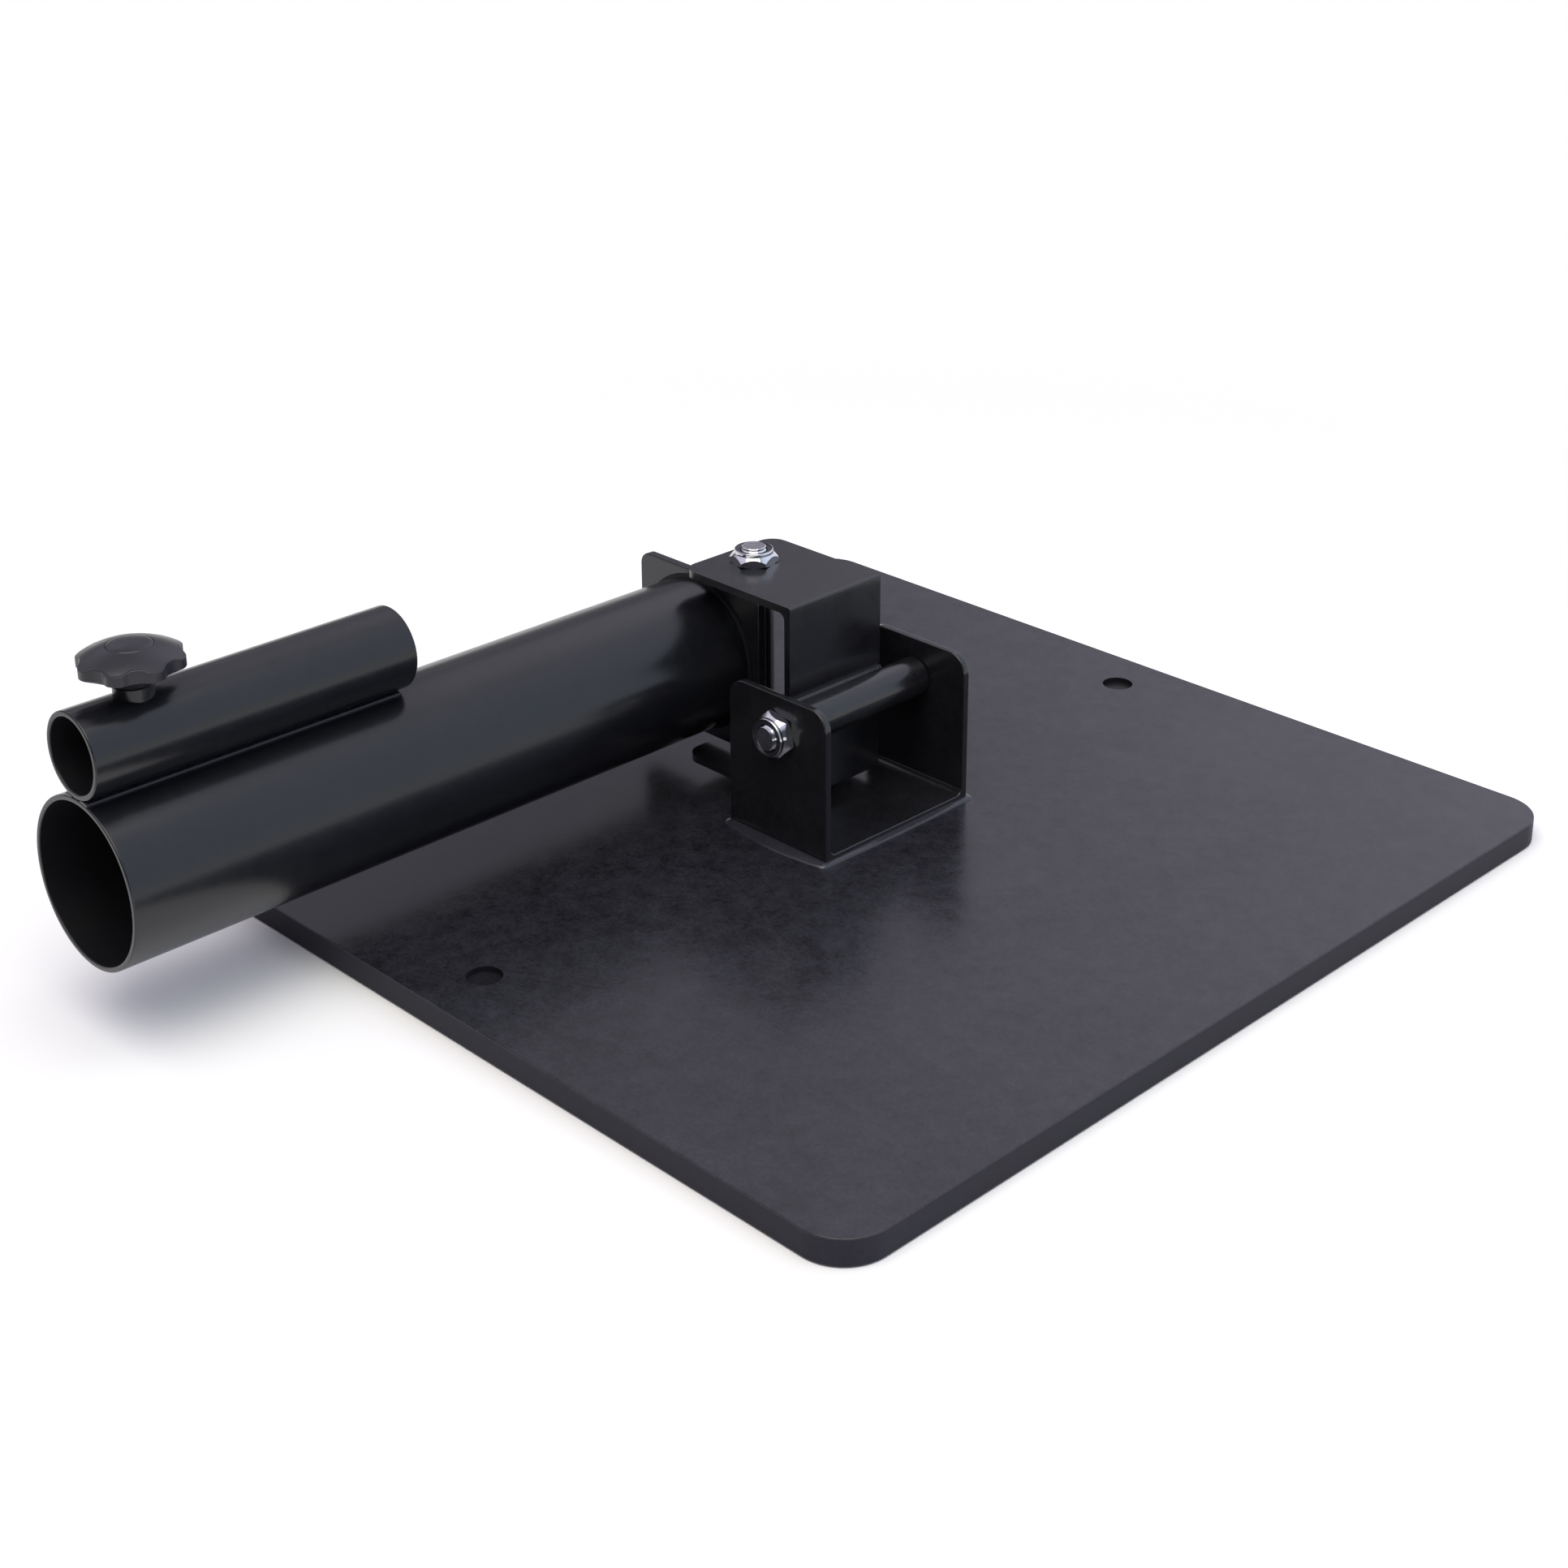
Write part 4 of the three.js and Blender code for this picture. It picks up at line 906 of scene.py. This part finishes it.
# Threaded boss
# A short turned collar is coped to the small tube's round and welded over the drilled hole, so that the
# clamp stud has enough thread. It is coated with the tubes.
boss_low, boss_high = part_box("knob_boss")
boss_radius = (boss_high.x - boss_low.x) / 2
boss_foot = small_z + small_radius / 2
boss = turned(
    "knob_seat_boss",
    [
        (boss_radius, boss_foot),
        (boss_radius, boss_high.z - SLEEVE_CHAMFER),
        (boss_radius - SLEEVE_CHAMFER, boss_high.z),
        (STUD_HOLE_RADIUS, boss_high.z),
        (STUD_HOLE_RADIUS, boss_foot),
        (boss_radius, boss_foot),
    ],
    96,
)
laid(boss, (tube_x, knob_y, 0))
drill(
    boss,
    small_radius,
    (tube_x, knob_y - boss_radius * 2, small_z),
    (tube_x, knob_y + boss_radius * 2, small_z),
    sides=144,
)
hand_over(boss, "tube", "knob_boss", tube_coat)


# Clamp knob
# An eight-lobed hand knob moulded in black glass-filled nylon over a steel stud. Its crown is a shallow dome,
# its lobes have straight sides, and the underside narrows in a cone to a round foot.
KNOB_LOBES = 8
LOBE_SIDES = 30
LOBE_DEPTH = 2.1 * MM
LOBE_TURN = math.radians(-48)
LOBE_FLATNESS = 1.3
LOBE_ROUNDING = 0.3 * MM
VALLEY_ROUNDING = 0.45 * MM
KNOB_FOOT_RADIUS = 7 * MM
KNOB_FOOT_ROUNDING = 0.5 * MM
RIM_BOTTOM = 5.9 * MM
RIM_TOP = 9.1 * MM
CROWN_TOP = 14.5 * MM
CAP_SEAT_RADIUS = 7.95 * MM
CAP_SEAT_DEPTH = 2.4 * MM
CAP_SEAT_CHAMFER = 0.06 * MM
SOCKET_DEPTH = 9 * MM
AXIS_RADIUS = 0.2 * MM
CONE_STEPS = 8
FLANK_STEPS = 5
ROLL_STEPS = 6
CROWN_STEPS = 14
KNOB_GRAIN = 0.35 * MM

knob_low, knob_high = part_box("knob_body")
knob_radius = (knob_high.x - knob_low.x) / 2
rise = CROWN_TOP - RIM_TOP
ball = (knob_radius**2 + rise**2) / (2 * rise)
seat_edge = CAP_SEAT_RADIUS + CAP_SEAT_CHAMFER


def dome(radius):
    return CROWN_TOP - ball + math.sqrt(ball**2 - radius**2)


def lobe_wave(angle):
    swing = math.tanh(LOBE_FLATNESS * math.cos(KNOB_LOBES * (angle - LOBE_TURN)))
    return (1 - swing / math.tanh(LOBE_FLATNESS)) / 2


foot, soft = KNOB_FOOT_RADIUS, KNOB_FOOT_ROUNDING
profile = [(AXIS_RADIUS, SOCKET_DEPTH), (STUD_HOLE_RADIUS, SOCKET_DEPTH), (STUD_HOLE_RADIUS, 0)]
profile += [(foot - soft, 0), (foot - soft * 0.3, soft * 0.3), (foot, soft)]
cone = len(profile)
for step in range(1, CONE_STEPS + 1):
    share = step / CONE_STEPS
    profile.append((foot + (knob_radius - foot) * share, soft + (RIM_BOTTOM - soft) * share))
flank = len(profile)
for step in range(1, FLANK_STEPS):
    profile.append((knob_radius, RIM_BOTTOM + (RIM_TOP - RIM_BOTTOM) * step / FLANK_STEPS))
# The rings of the rolled edge only start apart here, and are set with the lobes
roll = len(profile)
for step in range(ROLL_STEPS + 1):
    profile.append((knob_radius - step * 0.01 * MM, RIM_TOP + step * 0.001 * MM))
crown = len(profile)
for step in range(1, CROWN_STEPS + 1):
    radius = knob_radius + (seat_edge - knob_radius) * step / CROWN_STEPS
    profile.append((radius, dome(radius)))
seat = len(profile)
profile += [(CAP_SEAT_RADIUS, dome(seat_edge) - CAP_SEAT_CHAMFER), (CAP_SEAT_RADIUS, CROWN_TOP - CAP_SEAT_DEPTH)]
profile.append((AXIS_RADIUS, CROWN_TOP - CAP_SEAT_DEPTH))
sides = KNOB_LOBES * LOBE_SIDES
knob = turned("clamp_knob", profile, sides)
# The round blank is drawn in between the lobes, each ring of it by its rank from the foot up
for vertex in knob.data.vertices:
    radius = vertex.co.xy.length
    angle = math.atan2(vertex.co.y, vertex.co.x)
    height = vertex.co.z
    sink = lobe_wave(angle)
    rim = knob_radius - LOBE_DEPTH * sink
    turn = LOBE_ROUNDING + (VALLEY_ROUNDING - LOBE_ROUNDING) * sink
    rank = vertex.index // sides
    if cone <= rank < flank:
        radius = foot + (rim - foot) * (rank - cone + 1) / CONE_STEPS
    elif flank <= rank < roll:
        radius = rim
        height = RIM_BOTTOM + (dome(rim) - turn - RIM_BOTTOM) * (rank - flank + 1) / FLANK_STEPS
    elif roll <= rank < crown:
        share = math.pi / 2 * (rank - roll) / ROLL_STEPS
        radius = rim - turn * (1 - math.cos(share))
        height = dome(rim - turn) - turn * (1 - math.sin(share))
    elif crown <= rank < seat:
        radius = (rim - turn) + (seat_edge - rim + turn) * (rank - crown + 1) / CROWN_STEPS
        height = dome(radius)
    vertex.co = (radius * math.cos(angle), radius * math.sin(angle), height)
laid(knob, (tube_x, knob_y, knob_low.z))
# Glass-filled nylon is a shade greyer than the coats and shows soft highlights on its lobes
knob_plastic = moulded_plastic("moulded_glass_filled_nylon", "212127", 0.3, KNOB_GRAIN, 0.01 * MM)
hand_over(knob, "knob", "knob_body", knob_plastic, angle=38)


# Knob cap
# A thin round disc of the same plastic, pressed into the crown to hide the stud's head.
# Its chamfered edge stands just proud of the dome.
CAP_CHAMFER = 0.4 * MM
CAP_STEPS = 8

cap_low, cap_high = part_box("knob_cap")
cap_radius = (cap_high.x - cap_low.x) / 2
cap_edge = dome(cap_radius)
cap_face = cap_radius - CAP_CHAMFER
profile = [(cap_radius, CROWN_TOP - CAP_SEAT_DEPTH), (cap_radius, cap_edge - 0.2 * MM)]
profile += [(cap_radius - 0.08 * MM, cap_edge - 0.1 * MM), (cap_face, cap_edge + 0.14 * MM)]
for step in range(1, CAP_STEPS):
    radius = cap_face * (1 - step / CAP_STEPS)
    profile.append((radius, dome(radius) + 0.12 * MM))
cap = turned("knob_centre_cap", profile, 144)
laid(cap, (tube_x, knob_y, knob_low.z))
hand_over(cap, "knob", "knob_cap", knob_plastic, angle=38)


# Clamp stud and pad
# An M8 zinc plated stud is moulded into the knob. A nylon pad with a short stem sits loose in its drilled tip,
# so that it presses on the bar without turning on it.
STUD_RADIUS = 4 * MM
STUD_TIP_CHAMFER = 0.7 * MM
STUD_TIP_INSET = 0.1 * MM
PAD_STEM_RADIUS = 1.6 * MM
PAD_CLEARANCE = 0.3 * MM
PAD_ROUNDING = 0.5 * MM

stud_low, stud_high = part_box("knob_stud")
pad_low, pad_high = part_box("knob_pad")
pad_radius = (pad_high.x - pad_low.x) / 2
hole, tip = PAD_STEM_RADIUS + PAD_CLEARANCE, STUD_RADIUS - STUD_TIP_INSET
thread_start = stud_low.z + STUD_TIP_CHAMFER
profile = [(AXIS_RADIUS, pad_high.z + PAD_CLEARANCE), (hole, pad_high.z + PAD_CLEARANCE), (hole, stud_low.z)]
profile += [(tip - STUD_TIP_CHAMFER, stud_low.z), (tip, thread_start)]
profile += threaded(STUD_RADIUS, thread_start, stud_high.z)
profile.append((STUD_RADIUS, stud_high.z))
stud = turned("clamp_stud", profile, 96)
laid(stud, (tube_x, knob_y, 0))
hand_over(stud, "knob", "knob_stud", bright_zinc)
soft = PAD_ROUNDING
pad_top = stud_low.z
profile = [
    (pad_radius - soft, pad_low.z),
    (pad_radius - soft * 0.3, pad_low.z + soft * 0.3),
    (pad_radius, pad_low.z + soft),
    (pad_radius, pad_top - soft * 0.4),
    (pad_radius - soft * 0.4, pad_top),
    (PAD_STEM_RADIUS, pad_top),
    (PAD_STEM_RADIUS, pad_high.z - soft * 0.4),
    (PAD_STEM_RADIUS - soft * 0.4, pad_high.z),
]
pad = turned("clamp_pad", profile, 72)
laid(pad, (tube_x, knob_y, 0))
# Nylon without a dye is milky white and duller than the dark parts
pale_nylon = moulded_plastic("natural_nylon", "c4c6cc", 0.42, NYLON_GRAIN, 0.02 * MM)
hand_over(pad, "pad", "knob_pad", pale_nylon)


# Studio
# A plain pale floor runs back to white. One large soft diffuser hangs overhead, and the room round the object
# is brightest on its window side, as the long bands on the tubes show.
FLOOR_SIZE = 14
FLOOR_GAP = 0.4 * MM
FLOOR_FADE = (0.3, 0.75)
ROOM_SHADE = 0.12
LAMP_PLACE = Vector((0.55, -0.75, 2.2))
LAMP_AIM = Vector((0.1, -0.3, 0))
LAMP_SIZE = 2.2
LAMP_WATTS = 46

clear()
bpy.ops.mesh.primitive_plane_add(size=FLOOR_SIZE, location=(0, 0, -FLOOR_GAP))
floor = named("studio_floor")
paper = new_material("studio_paper")
spot = add(paper, "ShaderNodeTexCoord").outputs["Object"]
away = add(paper, "ShaderNodeVectorMath", {0: spot}, operation="LENGTH")
fade = add(
    paper,
    "ShaderNodeMapRange",
    {"Value": away.outputs["Value"], "From Min": FLOOR_FADE[0], "From Max": FLOOR_FADE[1]},
    interpolation_type="SMOOTHSTEP",
)
# Seen directly or mirrored, the paper runs to pure white, and still lights the object as paper does
path = add(paper, "ShaderNodeLightPath")
clean = path.outputs["Is Camera Ray"]
for part, operation in (
    (path.outputs["Is Glossy Ray"], "MAXIMUM"),
    (path.outputs["Is Transmission Ray"], "MAXIMUM"),
    (fade.outputs["Result"], "MULTIPLY"),
):
    clean = add(paper, "ShaderNodeMath", {0: clean, 1: part}, operation=operation).outputs["Value"]
matte = add(paper, "ShaderNodeBsdfDiffuse", {"Color": linear("f7f7f7")})
white = add(paper, "ShaderNodeEmission", {"Color": (1, 1, 1, 1), "Strength": 1.0})
mixed = add(
    paper,
    "ShaderNodeMixShader",
    {0: clean, 1: matte.outputs["BSDF"], 2: white.outputs["Emission"]},
)
add(paper, "ShaderNodeOutputMaterial", {"Surface": mixed.outputs["Shader"]})
floor.data.materials.append(paper)

world = bpy.data.worlds.new("studio_world")
bpy.context.scene.world = world
world.use_nodes = True
world.node_tree.nodes.clear()
aim = add(world, "ShaderNodeTexCoord").outputs["Generated"]
split = add(world, "ShaderNodeSeparateXYZ", {"Vector": aim})
side, back, up = (split.outputs[axis] for axis in "XYZ")


def lit_part(*reaches):
    light = 1.0
    for value, start, end, top in reaches:
        reach = add(
            world,
            "ShaderNodeMapRange",
            {"Value": value, "From Min": start, "From Max": end, "To Max": top},
            interpolation_type="SMOOTHSTEP",
        )
        both = add(world, "ShaderNodeMath", {0: reach.outputs["Result"], 1: light}, operation="MULTIPLY")
        light = both.outputs["Value"]
    return light


# The room is bright toward the window at the back on the right, and dark toward the front
window = add(world, "ShaderNodeVectorMath", {0: aim, 1: (0.45, 0.85, 0.3)}, operation="DOT_PRODUCT")
glow = lit_part((window.outputs["Value"], 0.1, 0.9, 1.15))
# A wall lit from above stands at the back on the left, with a bright doorway beside it
wall = lit_part((up, 0.37, 0.59, 0.38), (side, 0.1, -0.4, 1.0))
doorway = lit_part((up, 0.22, 0.36, 0.42), (side, -0.69, -0.79, 1.0))
# The ceiling in front is white
ceiling = lit_part((up, 0.35, 0.6, 0.95), (back, 0.1, -0.3, 1.0))
level = ROOM_SHADE
for part, operation in ((glow, "ADD"), (wall, "ADD"), (doorway, "ADD"), (ceiling, "MAXIMUM")):
    level = add(world, "ShaderNodeMath", {0: level, 1: part}, operation=operation).outputs["Value"]
# The white backdrop stands behind the object up to about 10 degrees, and shows in the gloss as well
low_down = add(world, "ShaderNodeMapRange", {"Value": up, "From Min": 0.17, "From Max": 0.05})
behind = add(world, "ShaderNodeVectorMath", {0: aim, 1: (-0.7, 0.7, 0)}, operation="DOT_PRODUCT")
across = add(world, "ShaderNodeMapRange", {"Value": behind.outputs["Value"], "From Min": -0.4, "From Max": 0.0})
path = add(world, "ShaderNodeLightPath")
backdrop = low_down.outputs["Result"]
for part, operation in (
    (across.outputs["Result"], "MULTIPLY"),
    (path.outputs["Is Glossy Ray"], "MULTIPLY"),
    (path.outputs["Is Camera Ray"], "MAXIMUM"),
    (path.outputs["Is Transmission Ray"], "MAXIMUM"),
):
    backdrop = add(world, "ShaderNodeMath", {0: backdrop, 1: part}, operation=operation).outputs["Value"]
# Daylight from the right is bluer than the light that comes back from the walls
blue = add(world, "ShaderNodeMapRange", {"Value": side, "From Min": -0.3, "From Max": 0.6})
tint = add(
    world,
    "ShaderNodeMix",
    {0: blue.outputs["Result"], 6: linear("ebe7f7"), 7: linear("d3e0f2")},
    data_type="RGBA",
)
room = add(world, "ShaderNodeBackground", {"Color": tint.outputs[2], "Strength": level})
beyond = add(world, "ShaderNodeBackground", {"Color": (1, 1, 1, 1), "Strength": 1.0})
sky = add(
    world,
    "ShaderNodeMixShader",
    {0: backdrop, 1: room.outputs["Background"], 2: beyond.outputs["Background"]},
)
add(world, "ShaderNodeOutputWorld", {"Surface": sky.outputs["Shader"]})

clear()
bpy.ops.object.light_add(
    type="AREA",
    location=LAMP_PLACE,
    rotation=(LAMP_AIM - LAMP_PLACE).to_track_quat("-Z", "Y").to_euler(),
)
overhead = bpy.context.object
overhead.name = "overhead_diffuser"
overhead.data.shape = "SQUARE"
overhead.data.size = LAMP_SIZE
overhead.data.energy = LAMP_WATTS
overhead.data.color = linear("fff8ec")[:3]


# Camera
# At the photograph's angle, 20 degrees down and square to the plate's near corner, with the shift that its
# framing needs.
CAMERA_PLACE = (0.63084, -0.64691, 0.46809)
CAMERA_TURN = (math.radians(70), 0, math.radians(45))
LENS = 58.55
SENSOR = 36
SHIFT = (-0.0137, -0.1792)

clear()
bpy.ops.object.camera_add(location=CAMERA_PLACE, rotation=CAMERA_TURN)
camera = bpy.context.object
camera.name = "photograph_camera"
camera.data.lens = LENS
camera.data.sensor_width = SENSOR
camera.data.shift_x, camera.data.shift_y = SHIFT
camera.data.clip_start = 0.02
camera.data.clip_end = 40
bpy.context.scene.camera = camera
bpy.context.scene.view_settings.view_transform = "Standard"
